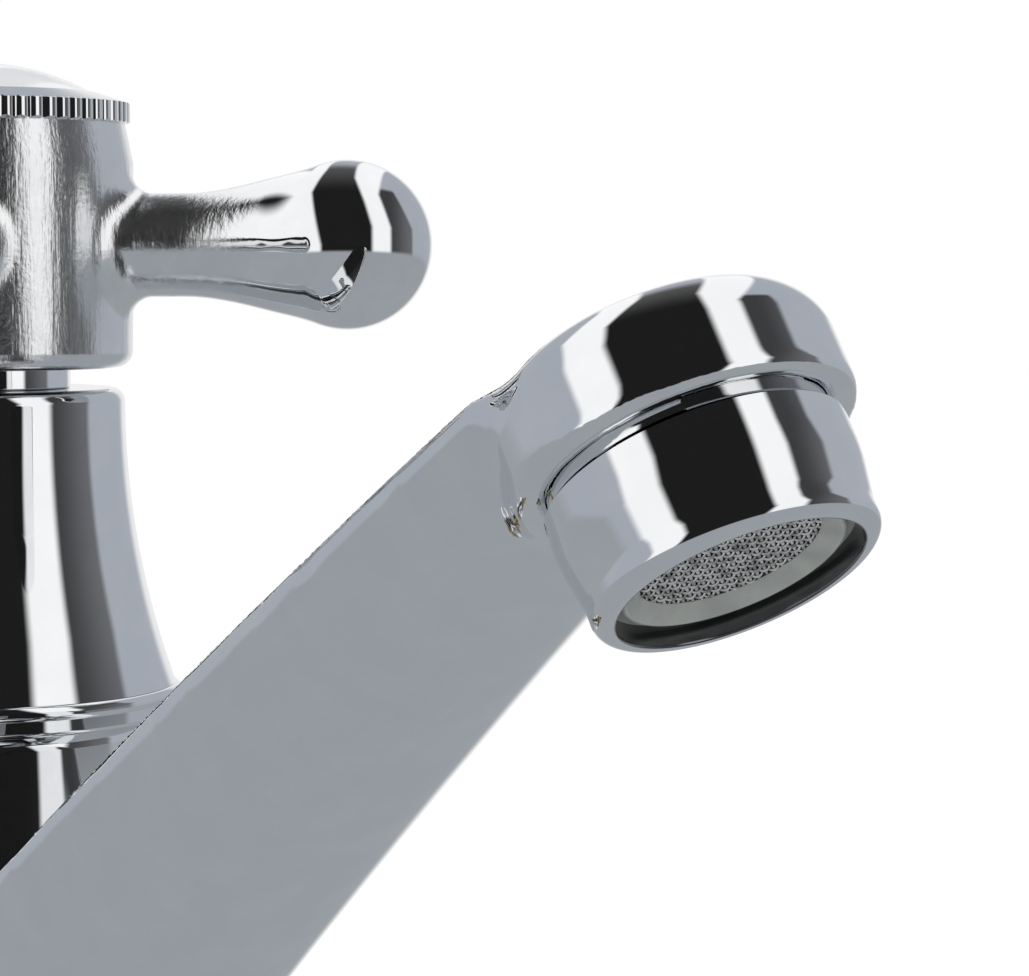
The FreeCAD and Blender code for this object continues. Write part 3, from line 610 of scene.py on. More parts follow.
def outline(*corners, closed=False):
    """Runs of (radius, height, normal out, normal up) through corners (radius, height, rounding)."""
    count = len(corners)
    spots = [Vector(corner[:2]) for corner in corners]
    cuts = []
    for i, corner in enumerate(corners):
        rounding = corner[2] if len(corner) > 2 else 0
        if rounding <= 0:
            cuts.append((spots[i], spots[i], None))
            continue
        before = (spots[i - 1] - spots[i]).normalized()
        after = (spots[(i + 1) % count] - spots[i]).normalized()
        half = before.angle(after) / 2
        back = rounding / math.tan(half)
        centre = spots[i] + (before + after).normalized() * (rounding / math.sin(half))
        cuts.append((spots[i] + before * back, spots[i] + after * back, centre))
    runs = []
    for i in range(count if closed else count - 1):
        start, end = cuts[i][1], cuts[(i + 1) % count][0]
        along = (end - start).normalized()
        if (end - start).length > 1e-6:
            runs.append([(*start, along.y, -along.x), (*end, along.y, -along.x)])
        into, out_of, centre = cuts[(i + 1) % count]
        if centre is None:
            continue
        first, second = into - centre, out_of - centre
        sweep = first.angle(second)
        hollow = first.cross(second) < 0
        steps = max(3, math.ceil(math.degrees(sweep) / ARC_STEP))
        arc = []
        for step in range(steps + 1):
            turn = Matrix.Rotation((-sweep if hollow else sweep) * step / steps, 2)
            spoke = turn @ first
            normal = spoke.normalized() * (-1 if hollow else 1)
            arc.append((*(centre + spoke), *normal))
        runs.append(arc)
    return runs


def even_angles(count):
    return np.arange(count) * 2 * math.pi / count


def turned_piece(name, corners, material, outlet=False, steps=192, own_normals=True):
    """A closed piece turned about Z from its outline's corners."""
    on_axis = corners[0][0] < 1e-6
    shell = Shell()
    runs = outline(*corners, closed=not on_axis)
    angles = even_angles(steps)
    first = None if on_axis else shell.add_ring(*corners[0][:2], angles)
    shell.turn(runs, angles, first=first, last=first)
    return shell.make(name, material, outlet, own_normals)


def trimmed(points, faces, planes):
    """A mesh cut off beyond level planes near the column: (height, keep above?) for each."""
    mesh = bpy.data.meshes.new("trim")
    mesh.from_pydata(points.tolist(), [], faces.tolist())
    work = bmesh.new()
    work.from_mesh(mesh)
    for level, above in planes:
        column = [f for f in work.faces if f.calc_center_median().xy.length < BODY_RADIUS + BARREL_SPARE]
        near = set(column)
        for face in column:
            near.update(face.verts)
            near.update(face.edges)
        bmesh.ops.bisect_plane(
            work, geom=list(near), dist=1e-5, plane_co=(0, 0, level), plane_no=(0, 0, 1),
            clear_inner=above, clear_outer=not above)
    loose = [v for v in work.verts if not v.link_faces]
    bmesh.ops.delete(work, geom=loose, context="VERTS")
    work.verts.index_update()
    spots = np.array([v.co for v in work.verts])
    corners = [[v.index for v in f.verts] for f in work.faces]
    rims = []
    for level, _ in planes:
        rim = [v for v in work.verts if v.is_boundary and abs(v.co.z - level) < 1e-3]
        rims.append([v.index for v in sorted(rim, key=lambda v: math.atan2(v.co.y, v.co.x))])
    work.free()
    bpy.data.meshes.remove(mesh)
    return spots, corners, rims


def calmed(points, faces, normals, fixed, rounds=40, limit=3.0):
    """Points and normals evened out where a normal strays from those of its neighbours."""
    starts = np.concatenate([np.array(f) for f in faces])
    ends = np.concatenate([np.roll(f, -1) for f in faces])
    pairs = np.concatenate((np.stack((starts, ends), 1), np.stack((ends, starts), 1)))
    links = np.maximum(np.bincount(pairs[:, 0], minlength=len(points)), 1)[:, None]

    def neighbours(values):
        gathered = np.zeros_like(values)
        np.add.at(gathered, pairs[:, 0], values[pairs[:, 1]])
        return gathered / links

    for _ in range(rounds):
        mean = unit(neighbours(normals))
        astray = (normals * mean).sum(1) < math.cos(math.radians(limit))
        for _ in range(2):
            astray[pairs[astray[pairs[:, 0]], 1]] = True
        astray[fixed] = False
        normals = np.where(astray[:, None], mean, normals)
        points = np.where(astray[:, None], (points + neighbours(points)) / 2, points)
    return points, normals


def field_shell(field, low, high, pitch, planes, radii):
    """A shell over a field, cut off at level planes, and its two rims with their angles."""
    points, faces = skin(field, low, high, pitch)
    points, faces, rims = trimmed(points, faces, planes)
    for rim, radius in zip(rims, radii):
        flat = points[rim, :2]
        points[rim, :2] = flat * (radius / np.linalg.norm(flat, axis=1))[:, None]
    normals = unit(steepest(field, points))
    points, normals = calmed(points, faces, normals, sum(rims, []))
    shell = Shell()
    shell.add_points(points.tolist())
    normals = normals.tolist()
    for corners in faces:
        shell.add_face(corners, [normals[c] for c in corners])
    angles = [np.arctan2(points[rim, 1], points[rim, 0]) for rim in rims]
    return shell, rims, angles


casting_shell, (low_rim, high_rim), (low_angles, high_angles) = field_shell(
    casting,
    (-17.5, -132.0, BARREL_BAND[0] - 2), (17.5, 17.5, 112.0), 0.5,
    ((BARREL_BAND[0], True), (BARREL_BAND[1], False)), (BODY_RADIUS, BODY_RADIUS))
foot_ring = casting_shell.add_ring(TAIL_RADIUS, FLANGE_BOTTOM, low_angles)
casting_shell.turn(
    outline(
        (TAIL_RADIUS, FLANGE_BOTTOM), (FLANGE_RADIUS, FLANGE_BOTTOM, 0.4), (FLANGE_RADIUS, FLANGE_TOP, 1.6),
        (STEP_RADIUS, FLANGE_TOP), (STEP_RADIUS, STEP_TOP, 0.4), (BODY_RADIUS, STEP_TOP, COVE),
        (BODY_RADIUS, BARREL_BAND[0])),
    low_angles, first=foot_ring, last=low_rim)
inlet_ring = casting_shell.turn(
    outline(
        (BODY_RADIUS, BARREL_BAND[1]), (BODY_RADIUS, BODY_TOP, BODY_SHOULDER),
        (HEADWORK_BORE, BODY_TOP), (HEADWORK_BORE, HEADWORK_BORE_END),
        (CHAMBER_RADIUS, HEADWORK_BORE_END), (CHAMBER_RADIUS, CHAMBER_FLOOR),
        (INLET_RADIUS, CHAMBER_FLOOR), (INLET_RADIUS, FLANGE_BOTTOM)),
    high_angles, first=high_rim)
casting_shell.join(inlet_ring, foot_ring, -1)
casting_piece = casting_shell.make("casting", chrome)
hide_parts("tap_body")
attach(casting_piece, "tap")

# ---------------------------------------------------------------- threaded tail
# The lower end of the casting: a three-quarter-inch pipe thread, left as machined brass,
# with a plain nose for the supply connector and the water inlet through its middle.
TAIL_LENGTH = 50.0
TAIL_PITCH = 1.814
TAIL_THREAD_DEPTH = 1.1
TAIL_THREAD_TOP = -2.6
TAIL_NOSE = (11.9, -46.0)
TAIL_ROW = 0.26


def machined_brass():
    material, tree, place = start_material("machined_brass")
    height = tree.parts(place)[2]
    rings = tree.node(
        "ShaderNodeTexNoise", {"noise_dimensions": "1D"}, {"W": height, "Scale": 6.0, "Detail": 4.0})
    stains = noise(tree, place, 0.25, 4.0)
    shade = mixed(tree, stains.between(0.4, 0.7), (0.72, 0.55, 0.28), (0.60, 0.44, 0.22))
    finish_material(
        tree, Base_Color=shade, Metallic=1.0, Roughness=0.24 + rings * 0.16 + stains * 0.1,
        Normal=bump(tree, rings, 0.03))
    return material


brass = machined_brass()


def start_group(name, labels):
    """A geometry node group with named number inputs and a Material, its tree and inputs."""
    group = bpy.data.node_groups.new(name, "GeometryNodeTree")
    group.interface.new_socket("Geometry", in_out="INPUT", socket_type="NodeSocketGeometry")
    for label in labels:
        group.interface.new_socket(label, in_out="INPUT", socket_type="NodeSocketFloat")
    group.interface.new_socket("Material", in_out="INPUT", socket_type="NodeSocketMaterial")
    group.interface.new_socket("Geometry", in_out="OUTPUT", socket_type="NodeSocketGeometry")
    tree = Tree(group)
    given = group.nodes.new("NodeGroupInput")
    return group, tree, {item.name: Wire(tree, item) for item in given.outputs if item.name}


def finish_group(tree, geometry, material):
    whole = tree.node("GeometryNodeRealizeInstances", None, {"Geometry": geometry})
    dressed = tree.node("GeometryNodeSetMaterial", None, {"Geometry": whole, "Material": material})
    tree.node("NodeGroupOutput", None, {"Geometry": dressed})


def ripple_tree(name):
    """Geometry nodes that cut flutes or a thread into the outside of a turned piece.

    Flutes repeat around the axis and a thread climbs by its pitch. Both are cut to Depth
    inside Radius, between Low and High.
    """
    group, tree, value = start_group(
        name, ("Flutes", "Pitch", "Depth", "Radius", "Low", "High", "Sharpness"))
    place = tree.node("GeometryNodeInputPosition")
    x, y, z = tree.parts(place)
    level = tree.node("ShaderNodeCombineXYZ", None, {"X": x, "Y": y})
    out = tree.node("ShaderNodeVectorMath", {"operation": "LENGTH"}, {0: level}, output="Value")
    turns = y.maths("ARCTAN2", x) / (2 * math.pi)
    phase = turns * value["Flutes"] + z / value["Pitch"]
    wave = phase.maths("FRACT").maths("PINGPONG", 0.5) * 2
    wave = wave.maths("POWER", value["Sharpness"])
    inside = (z > value["Low"]) * (1 - (z > value["High"]))
    cut = value["Radius"] - wave * value["Depth"] - out
    inward = cut.maths("MINIMUM", 0.0) * inside
    direction = tree.node("ShaderNodeVectorMath", {"operation": "NORMALIZE"}, {0: level})
    shift = tree.node("ShaderNodeVectorMath", {"operation": "SCALE"}, {0: direction, "Scale": inward})
    moved = tree.node(
        "GeometryNodeSetPosition", None, {"Geometry": value["Geometry"], "Offset": shift})
    finish_group(tree, moved, value["Material"])
    return group


def worked(piece, group, crease=35.0, **values):
    """The piece with a node group applied for good, and edges past a crease angle kept crisp."""
    modifier = piece.modifiers.new(group.name, "NODES")
    modifier.node_group = group
    for item in group.interface.items_tree:
        if item.in_out == "INPUT" and item.name in values:
            modifier[item.identifier] = values[item.name]
    evaluated = piece.evaluated_get(bpy.context.evaluated_depsgraph_get())
    mesh = bpy.data.meshes.new_from_object(evaluated)
    piece.modifiers.remove(modifier)
    piece.data = mesh
    mesh.polygons.foreach_set("use_smooth", [True] * len(mesh.polygons))
    mesh.set_sharp_from_angle(angle=math.radians(crease))
    return piece


def rows(radius, low, high, step):
    """Outline corners up a straight wall, close enough together to be rippled."""
    count = max(2, round((high - low) / step))
    return [(radius, low + (high - low) * i / count) for i in range(count + 1)]


ripples = ripple_tree("cut_ripples")

tail_corners = [
    (INLET_RADIUS, -TAIL_LENGTH), (TAIL_NOSE[0], -TAIL_LENGTH, 0.4), TAIL_NOSE,
    *rows(TAIL_RADIUS, TAIL_NOSE[1] + 0.6, FLANGE_BOTTOM, TAIL_ROW), (INLET_RADIUS, FLANGE_BOTTOM)]
tail_shell = Shell()
tail_runs = outline(*tail_corners, closed=True)
tail_angles = even_angles(96)
tail_ring = tail_shell.add_ring(INLET_RADIUS, -TAIL_LENGTH, tail_angles)
tail_shell.turn(tail_runs, tail_angles, first=tail_ring, last=tail_ring)
tail = tail_shell.make("tail_thread", brass, own_normals=False)
tail = worked(
    tail, ripples, Flutes=1.0, Pitch=-TAIL_PITCH * MM, Depth=TAIL_THREAD_DEPTH * MM,
    Radius=TAIL_RADIUS * MM, Low=TAIL_NOSE[1] * MM, High=TAIL_THREAD_TOP * MM, Sharpness=1.0,
    Material=brass)
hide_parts("tap_body")
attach(tail, "tap")

# ---------------------------------------------------------------- deck gasket and fixing
# A soft black washer seals the flange to the deck. Below it a pressed steel washer and a
# flanged brass backnut clamp the tap down.
GASKET_RADIUS = 23.0
GASKET_BULGE = 0.35
CLAMP_WASHER = (20.5, -16.0, -14.0)
NUT_HALF_FLATS = 18.0
NUT_FLANGE = (20.0, 2.5)
NUT_HEIGHTS = (-25.0, -16.0)
NUT_ENTRY = 0.8
NUT_EDGE = 0.3
TAIL_BORE = 13.3


def grained(name, shades, clouds, grains, roughness, depth, metallic=0.0, stretch=None):
    """Clouds of one shade in another, under a fine grain.

    clouds gives their noise's scale, detail, start and end. grains gives scale and detail.
    roughness is (least, most).
    """
    material, tree, place = start_material(name)
    cloud = noise(tree, place, *clouds[:2]).between(*clouds[2:])
    grain = noise(tree, place, *grains, stretch=stretch)
    finish_material(
        tree, Base_Color=mixed(tree, cloud, *shades), Metallic=metallic,
        Roughness=roughness[0] + grain * (roughness[1] - roughness[0]), Normal=bump(tree, grain, depth))
    return material


rubber = grained(
    "black_rubber", ((0.018, 0.018, 0.019), (0.05, 0.05, 0.052)),
    (0.5, 6.0, 0.45, 0.75), (9.0, 3.0), (0.55, 0.75), 0.02)
steel = grained(
    "zinc_plated_steel", ((0.56, 0.57, 0.58), (0.68, 0.69, 0.70)),
    (0.8, 5.0, 0.35, 0.7), (2.0, 3.0), (0.25, 0.45), 0.02, metallic=1.0, stretch=(1.0, 8.0, 1.0))

gasket = turned_piece(
    "gasket_ring",
    [(TAIL_BORE, 0.0), (GASKET_RADIUS, 0.0, GASKET_BULGE), (GASKET_RADIUS, FLANGE_BOTTOM, GASKET_BULGE),
     (TAIL_BORE, FLANGE_BOTTOM)], rubber)
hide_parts("deck_gasket")
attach(gasket, "tap")

washer = turned_piece(
    "steel_washer",
    [(TAIL_BORE, CLAMP_WASHER[1]), (CLAMP_WASHER[0], CLAMP_WASHER[1], 0.3),
     (CLAMP_WASHER[0], CLAMP_WASHER[2], 0.7), (TAIL_BORE, CLAMP_WASHER[2])], steel)
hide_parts("clamp_washer")
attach(washer, "tap")


def hexagon_nut(name, half_flats, flange, heights, bore, material):
    """A flanged hexagon nut: six flats whose corners are turned off below, at 30 degrees."""
    low, high = heights
    flange_low = high - flange[1]
    angles = even_angles(240)
    from_flat = (angles + math.pi / 6) % (math.pi / 3) - math.pi / 6
    flats = half_flats / np.cos(from_flat)
    shell = Shell()

    def ring(radius, height):
        radius = np.broadcast_to(radius, angles.shape)
        height = np.broadcast_to(height, angles.shape)
        points = np.stack((radius * np.cos(angles), radius * np.sin(angles), height), 1)
        return shell.add_points(points.tolist())

    neck = np.minimum(flats, flange[0] - 2 * NUT_EDGE)
    chamfer = low + (flats - half_flats) * math.tan(math.radians(30)) + 0.17
    rings = [
        ring(bore + NUT_ENTRY, low), ring(half_flats - NUT_EDGE, low), ring(flats, chamfer),
        ring(neck, flange_low - 0.5), ring(neck, flange_low),
        ring(flange[0] - NUT_EDGE, flange_low), ring(flange[0], flange_low + NUT_EDGE),
        ring(flange[0], high - NUT_EDGE), ring(flange[0] - NUT_EDGE, high),
        ring(bore + NUT_ENTRY, high), ring(bore, high - NUT_ENTRY), ring(bore, low + NUT_ENTRY)]
    rings.append(rings[0])
    for near, far in zip(rings, rings[1:]):
        for j in range(len(angles)):
            k = (j + 1) % len(angles)
            shell.faces.append([near[j], near[k], far[k], far[j]])
    made = shell.make(name, material, own_normals=False)
    made.data.set_sharp_from_angle(angle=math.radians(25))
    return made


backnut = hexagon_nut("flanged_backnut", NUT_HALF_FLATS, NUT_FLANGE, NUT_HEIGHTS, TAIL_BORE, brass)
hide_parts("backnut")
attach(backnut, "tap")

# ---------------------------------------------------------------- bonnet
# A stepped ring, a flared bell and a small round collar, all polished and plated. They
# cover the valve that screws into the casting.
RING_BASE = 18.7
RING_BEAD = 19.4
RING_STEP = 64.45
RING_TOP = 65.95
RING_RECESS = (13.7, 64.2)
BELL_TOP = 95.65
BELL_TOP_RADIUS = 14.0
BELL_RIM_RADIUS = 18.85
BELL_SHOULDER = 1.4
BELL_WALL = 1.5
COLLAR_RADIUS = 8.6
COLLAR_TOP = 99.25
NECK_BORE = 7.08

ring_piece = turned_piece(
    "stepped_ring",
    [(HEADWORK_BORE, BODY_TOP), (RING_BASE, BODY_TOP, 0.35), (RING_BASE, RING_STEP, 0.0),
     (RING_BEAD, RING_STEP, 0.6), (RING_BEAD, RING_TOP, 0.7), (RING_RECESS[0], RING_TOP),
     RING_RECESS, (HEADWORK_BORE, RING_RECESS[1])], chrome, steps=256)
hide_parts("bonnet_ring")
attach(ring_piece, "tap")


def bell_side(offset, top, low):
    """One long arc down the bell, upright at the top and flaring to the rim, as a run."""
    drop = BELL_TOP - BELL_SHOULDER - RING_TOP
    flare = BELL_RIM_RADIUS - BELL_TOP_RADIUS
    bend = (drop ** 2 + flare ** 2) / (2 * flare)
    run = []
    steps = 24
    for i in range(steps + 1):
        height = low + (top - low) * i / steps
        down = max(BELL_TOP - BELL_SHOULDER - height, 0.0)
        lean = math.asin(down / bend)
        out = BELL_TOP_RADIUS + bend * (1 - math.cos(lean)) - offset
        run.append((out, height, math.cos(lean), math.sin(lean)))
    return run


bell_shell = Shell()
bell_angles = even_angles(256)
rim_inner = BELL_RIM_RADIUS - BELL_WALL
bell_ring = bell_shell.add_ring(rim_inner, RING_TOP, bell_angles)
bell_foot = outline((rim_inner, RING_TOP), (BELL_RIM_RADIUS, RING_TOP))
bell_wall = [bell_side(0.0, BELL_TOP - BELL_SHOULDER, RING_TOP)]
bell_crown = outline(
    (BELL_TOP_RADIUS, BELL_TOP - BELL_SHOULDER - 0.01), (BELL_TOP_RADIUS, BELL_TOP, BELL_SHOULDER),
    (NECK_BORE, BELL_TOP), (NECK_BORE, BELL_TOP - BELL_WALL),
    (BELL_TOP_RADIUS - BELL_WALL, BELL_TOP - BELL_WALL),
    (BELL_TOP_RADIUS - BELL_WALL, BELL_TOP - 2 * BELL_WALL))
inner = bell_side(BELL_WALL, BELL_TOP - 2 * BELL_WALL, RING_TOP)
bell_lining = [[(r, z, -a, -b) for r, z, a, b in reversed(inner)]]
bell_shell.turn(
    bell_foot + bell_wall + bell_crown + bell_lining, bell_angles, first=bell_ring, last=bell_ring)
bell = bell_shell.make("flared_bell", chrome)
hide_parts("bonnet_cover")
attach(bell, "tap")

collar = turned_piece(
    "round_collar",
    [(NECK_BORE, BELL_TOP), (COLLAR_RADIUS, BELL_TOP, 0.2), (COLLAR_RADIUS, COLLAR_TOP, 0.5),
     (NECK_BORE, COLLAR_TOP)], chrome)
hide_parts("bonnet_nut")
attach(collar, "tap")

# ---------------------------------------------------------------- cross handle
# Cast in one piece with four arms, each a waist that swells to a round bulb. The bulbs
# are polished; the hub and waists keep fine upright buffing lines under the plating.
HUB_BOTTOM = 97.7
HUB_TOP = 122.0
HUB_CORNERS = (
    (14.8, HUB_BOTTOM, 1.7), (15.0, HUB_TOP - 4.0, 2.0), (14.2, HUB_TOP))
HUB_BAND = (99.8, 119.7)
HUB_SPARE = 11.5                 # half the height drawn, then trimmed
HUB_LEAST = 13.9
HUB_SKIRT = (9.3, 102.7)
HUB_BUSH = 6.05
HUB_WEB = (113.3, 115.3)
HUB_SCREW_HOLE = 2.3
HUB_INDEX_BORE = 11.68
ARM_HEIGHT = 109.85
ARM_ANGLES = (45.0, 135.0, 225.0, 315.0)
ARM_FILLET = 2.6
BULB_RADIUS = 8.33
BULB_PLACE = 37.02
BULB_START = 110.0               # degrees back from the tip
WAIST = ((20.8, 5.1, 0.0), (29.2, 6.5, 0.25))  # place, radius and slope
FAR_OFF = 50.0
BUFFED_END = (24.0, 31.0)


def eased(start, end, along):
    """A smooth curve between two (place, radius, slope) points."""
    length = end[0] - start[0]
    t = np.clip((along - start[0]) / length, 0, 1)
    return ((2 * t ** 3 - 3 * t ** 2 + 1) * start[1] + (t ** 3 - 2 * t ** 2 + t) * length * start[2]
            + (3 * t ** 2 - 2 * t ** 3) * end[1] + (t ** 3 - t ** 2) * length * end[2])


bulb_back = math.radians(BULB_START)
bulb_join = (
    BULB_PLACE + BULB_RADIUS * math.cos(bulb_back), BULB_RADIUS * math.sin(bulb_back),
    -1 / math.tan(bulb_back))


def handle_arm(points, angle):
    """Distance to one arm: a curve turned about the arm's axis, and a round bulb."""
    turn = math.radians(angle)
    along = points[:, 0] * math.cos(turn) + points[:, 1] * math.sin(turn)
    across = -points[:, 0] * math.sin(turn) + points[:, 1] * math.cos(turn)
    out = np.maximum(np.hypot(across, points[:, 2] - ARM_HEIGHT), 1e-6)
    radius, further = (np.where(
        along < WAIST[1][0], eased(WAIST[0], WAIST[1], place), eased(WAIST[1], bulb_join, place))
        for place in (along, along + 0.01))
    slope = (further - radius) / 0.01
    waist = (out - radius) / np.hypot(1, slope)
    bulb = np.hypot(along - BULB_PLACE, out) - BULB_RADIUS
    on_bulb = (along - BULB_PLACE) > out / math.tan(bulb_back)
    shape = np.where(on_bulb, bulb, waist)
    return np.where(along < 2.0, FAR_OFF, shape)


hub_runs = outline((0.0, HUB_BOTTOM), *HUB_CORNERS, (0.0, HUB_TOP))
hub_side = np.array(sorted({(z, r) for run in hub_runs for r, z, out, _ in run if r > HUB_LEAST}))


def cross_handle(points):
    """Distance to the outside of the handle between the plain ends of its hub."""
    out = np.hypot(points[:, 0], points[:, 1])
    hub = out - np.interp(points[:, 2], hub_side[:, 0], hub_side[:, 1])
    hub = np.maximum(hub, np.abs(points[:, 2] - ARM_HEIGHT) - HUB_SPARE)
    arms = np.full(len(points), FAR_OFF)
    for angle in ARM_ANGLES:
        arms = np.minimum(arms, handle_arm(points, angle))
    near_hub = np.maximum(ARM_FILLET - hub, 0)
    near_arm = np.maximum(ARM_FILLET - arms, 0)
    return np.maximum(np.minimum(hub, arms), ARM_FILLET) - np.hypot(near_hub, near_arm)


def radius_at(height):
    return float(np.interp(height, hub_side[:, 0], hub_side[:, 1]))


def clipped(runs, low, high):
    """The part of an outline between two heights, with points added there."""
    kept = []
    for run in runs:
        inside = [p for p in run if low - 1e-9 <= p[1] <= high + 1e-9]
        for first, second in zip(run, run[1:]):
            for level in (low, high):
                if min(first[1], second[1]) < level < max(first[1], second[1]):
                    share = (level - first[1]) / (second[1] - first[1])
                    inside.append(tuple(a + share * (b - a) for a, b in zip(first, second)))
        inside.sort(key=lambda p: p[1])
        if len(inside) > 1:
            kept.append(inside)
    return kept


handle_shell, (base_rim, crown_rim), (base_angles, crown_angles) = field_shell(
    cross_handle, (-36.0, -36.0, 98.0), (36.0, 36.0, 121.6), 0.42,
    ((HUB_BAND[0], True), (HUB_BAND[1], False)), (radius_at(HUB_BAND[0]), radius_at(HUB_BAND[1])))
hub_outer = outline((HUB_SKIRT[0] + 1, HUB_BOTTOM), *HUB_CORNERS)
skirt_ring = handle_shell.add_ring(HUB_SKIRT[0] + 1, HUB_BOTTOM, base_angles)
handle_shell.turn(
    hub_outer[:1] + clipped(hub_outer[1:], HUB_BOTTOM, HUB_BAND[0]), base_angles,
    first=skirt_ring, last=base_rim)
socket_ring = handle_shell.turn(
    clipped(hub_outer[1:], HUB_BAND[1], HUB_TOP)
    + outline(
        HUB_CORNERS[-1], (HUB_INDEX_BORE, HUB_TOP), (HUB_INDEX_BORE, HUB_WEB[1]),
        (HUB_SCREW_HOLE, HUB_WEB[1]), (HUB_SCREW_HOLE, HUB_WEB[0]), (HUB_BUSH, HUB_WEB[0]),
        (HUB_BUSH, HUB_SKIRT[1]), (HUB_SKIRT[0], HUB_SKIRT[1]), (HUB_SKIRT[0], HUB_BOTTOM)),
    crown_angles, first=crown_rim)
handle_shell.join(socket_ring, skirt_ring, -1)


def buffed_chrome():
    """Chrome over upright buffing lines on the hub and waists, bright on the bulbs."""
    material, tree, place = start_material("buffed_chrome")
    x, y, _ = tree.parts(place)
    out = (x * x + y * y).maths("SQRT")
    buffed = 1 - out.between(*BUFFED_END)
    lines = noise(tree, place, 1.5, 4.0, stretch=(1.0, 1.0, 0.05))
    fine = noise(tree, place, 4.5, 3.0, stretch=(1.0, 1.0, 0.12))
    specks = noise(tree, place, 2.0, 4.0)
    marks = noise(tree, place, 0.3, 4.0)
    height = lines * 0.9 + fine * 0.45 + specks * 0.7
    finish_material(
        tree, Base_Color=mixed(tree, marks.between(0.35, 0.75), (0.79, 0.80, 0.815), (0.84, 0.845, 0.85)),
        Metallic=1.0, Roughness=0.03 + buffed * (0.05 + fine * 0.14 + specks * 0.08),
        Normal=bump(tree, height * buffed, 0.035))
    return material


satin = buffed_chrome()
handle = handle_shell.make("cross_handle", satin)
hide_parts("handle_cross")
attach(handle, "handle")

# ---------------------------------------------------------------- index ring and disc
# A plated ring with a fluted edge screws into the hub. It holds a domed disc of glazed
# white porcelain.
INDEX_RADIUS = 14.7
INDEX_TOP = 123.95
INDEX_BEVEL_START = (14.25, 124.1)
INDEX_BEVEL_TOP = 125.0
INDEX_SKIRT = (11.6, 118.6)
INDEX_BORE = 9.6
FLUTES = 60
FLUTE_DEPTH = 0.36
FLUTE_SHARPNESS = 2.6
DISC_RADIUS = 11.0
DISC_ROOM = 0.05
DISC_HEIGHTS = (122.6, 125.0, 127.9)  # seat, edge and crown

index_corners = [
    (INDEX_BORE, INDEX_SKIRT[1]), (INDEX_SKIRT[0], INDEX_SKIRT[1], 0.4), (INDEX_SKIRT[0], HUB_TOP),
    (INDEX_RADIUS, HUB_TOP, 0.2), (INDEX_RADIUS, INDEX_TOP, 0.1), INDEX_BEVEL_START,
    (DISC_RADIUS + 0.45, INDEX_BEVEL_TOP, 0.2), (DISC_RADIUS + DISC_ROOM, INDEX_BEVEL_TOP),
    (DISC_RADIUS + DISC_ROOM, DISC_HEIGHTS[0]), (INDEX_BORE, DISC_HEIGHTS[0])]
index_ring = turned_piece("fluted_ring", index_corners, chrome, steps=14 * FLUTES)
index_ring = worked(
    index_ring, ripples, Flutes=float(FLUTES), Pitch=1000.0, Depth=FLUTE_DEPTH * MM,
    Radius=INDEX_RADIUS * MM, Low=HUB_TOP * MM - 1e-6, High=(INDEX_TOP + 0.02) * MM,
    Sharpness=FLUTE_SHARPNESS, Material=chrome)
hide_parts("index_ring")
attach(index_ring, "handle")


def glazed_porcelain():
    material, tree, place = start_material("glazed_porcelain")
    cloud = noise(tree, place, 0.15, 3.0)
    peel = noise(tree, place, 0.6, 2.0)
    finish_material(
        tree, Base_Color=mixed(tree, cloud.between(0.3, 0.7), (0.78, 0.78, 0.80), (0.82, 0.82, 0.835)),
        Roughness=0.16 + peel * 0.06, Coat_Weight=0.4 + cloud * 0.2, Normal=bump(tree, peel, 0.02))
    return material


porcelain = glazed_porcelain()
dome_rise = DISC_HEIGHTS[2] - DISC_HEIGHTS[1]
dome_ball = (DISC_RADIUS ** 2 + dome_rise ** 2) / (2 * dome_rise)
dome_rows = 16
dome_arc = []
for i in range(dome_rows + 1):
    lean = math.asin(DISC_RADIUS / dome_ball) * (1 - i / dome_rows)
    dome_arc.append((
        dome_ball * math.sin(lean), DISC_HEIGHTS[2] - dome_ball * (1 - math.cos(lean)),
        math.sin(lean), math.cos(lean)))
disc_shell = Shell()
disc_shell.turn(
    outline((0.0, DISC_HEIGHTS[0]), (DISC_RADIUS, DISC_HEIGHTS[0]), (DISC_RADIUS, DISC_HEIGHTS[1]))
    + [dome_arc], even_angles(192))
disc = disc_shell.make("porcelain_disc", porcelain)
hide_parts("index_disc")
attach(disc, "handle")

# ---------------------------------------------------------------- aerator
# A plated shell screws on to the spout's end. It holds a moulded plastic insert with a
# woven steel screen. These pieces are drawn in the outlet's own frame.
SPIGOT_RADIUS = 10.9
SPIGOT_BORE = 9.0
SPIGOT_END = 4.5
SPIGOT_CHAMFER = 0.6
SPIGOT_THREAD = (1.0, 0.6)       # pitch and depth
SPIGOT_ROW = 0.16
SHELL_RADIUS = 11.7
SHELL_LIP = (11.05, 2.1)         # radius, and the height where the taper begins
SHELL_LIP_ROUNDING = 1.1
SHELL_TAPER_TOP = 6.0
SHELL_TAPER_ROUNDINGS = (3.0, 12.0)  # below and above
SHELL_TOP = 9.5
SHELL_CHAMFER = 0.4
OUTLET_RADIUS = 9.54
SHELL_LEDGE = 1.9
SHELL_SHADE_FADE = (0.02, 0.14)     # past the opening's radius, from painted shade to bright
THREAD_ROOM = 10.98
INSERT_NOSE = (8.63, 1.15)
INSERT_FLANGE = (10.2, 3.1)
INSERT_BODY = 8.63
INSERT_TOP = 8.0
INSERT_LINING = 7.43
INSERT_ROOM = 0.05
INSERT_GROOVE = (7.35, 3.3)      # holds the screen's rim
INSERT_RIB = 6.75
SCREEN_RADIUS = 7.0
SCREEN_HEIGHTS = (2.3, 2.7)
SCREEN_HELD = 0.2
SCREEN_PITCH = 0.64
SCREEN_WIRE = 0.14
DIFFUSER_HEIGHT = 5.2

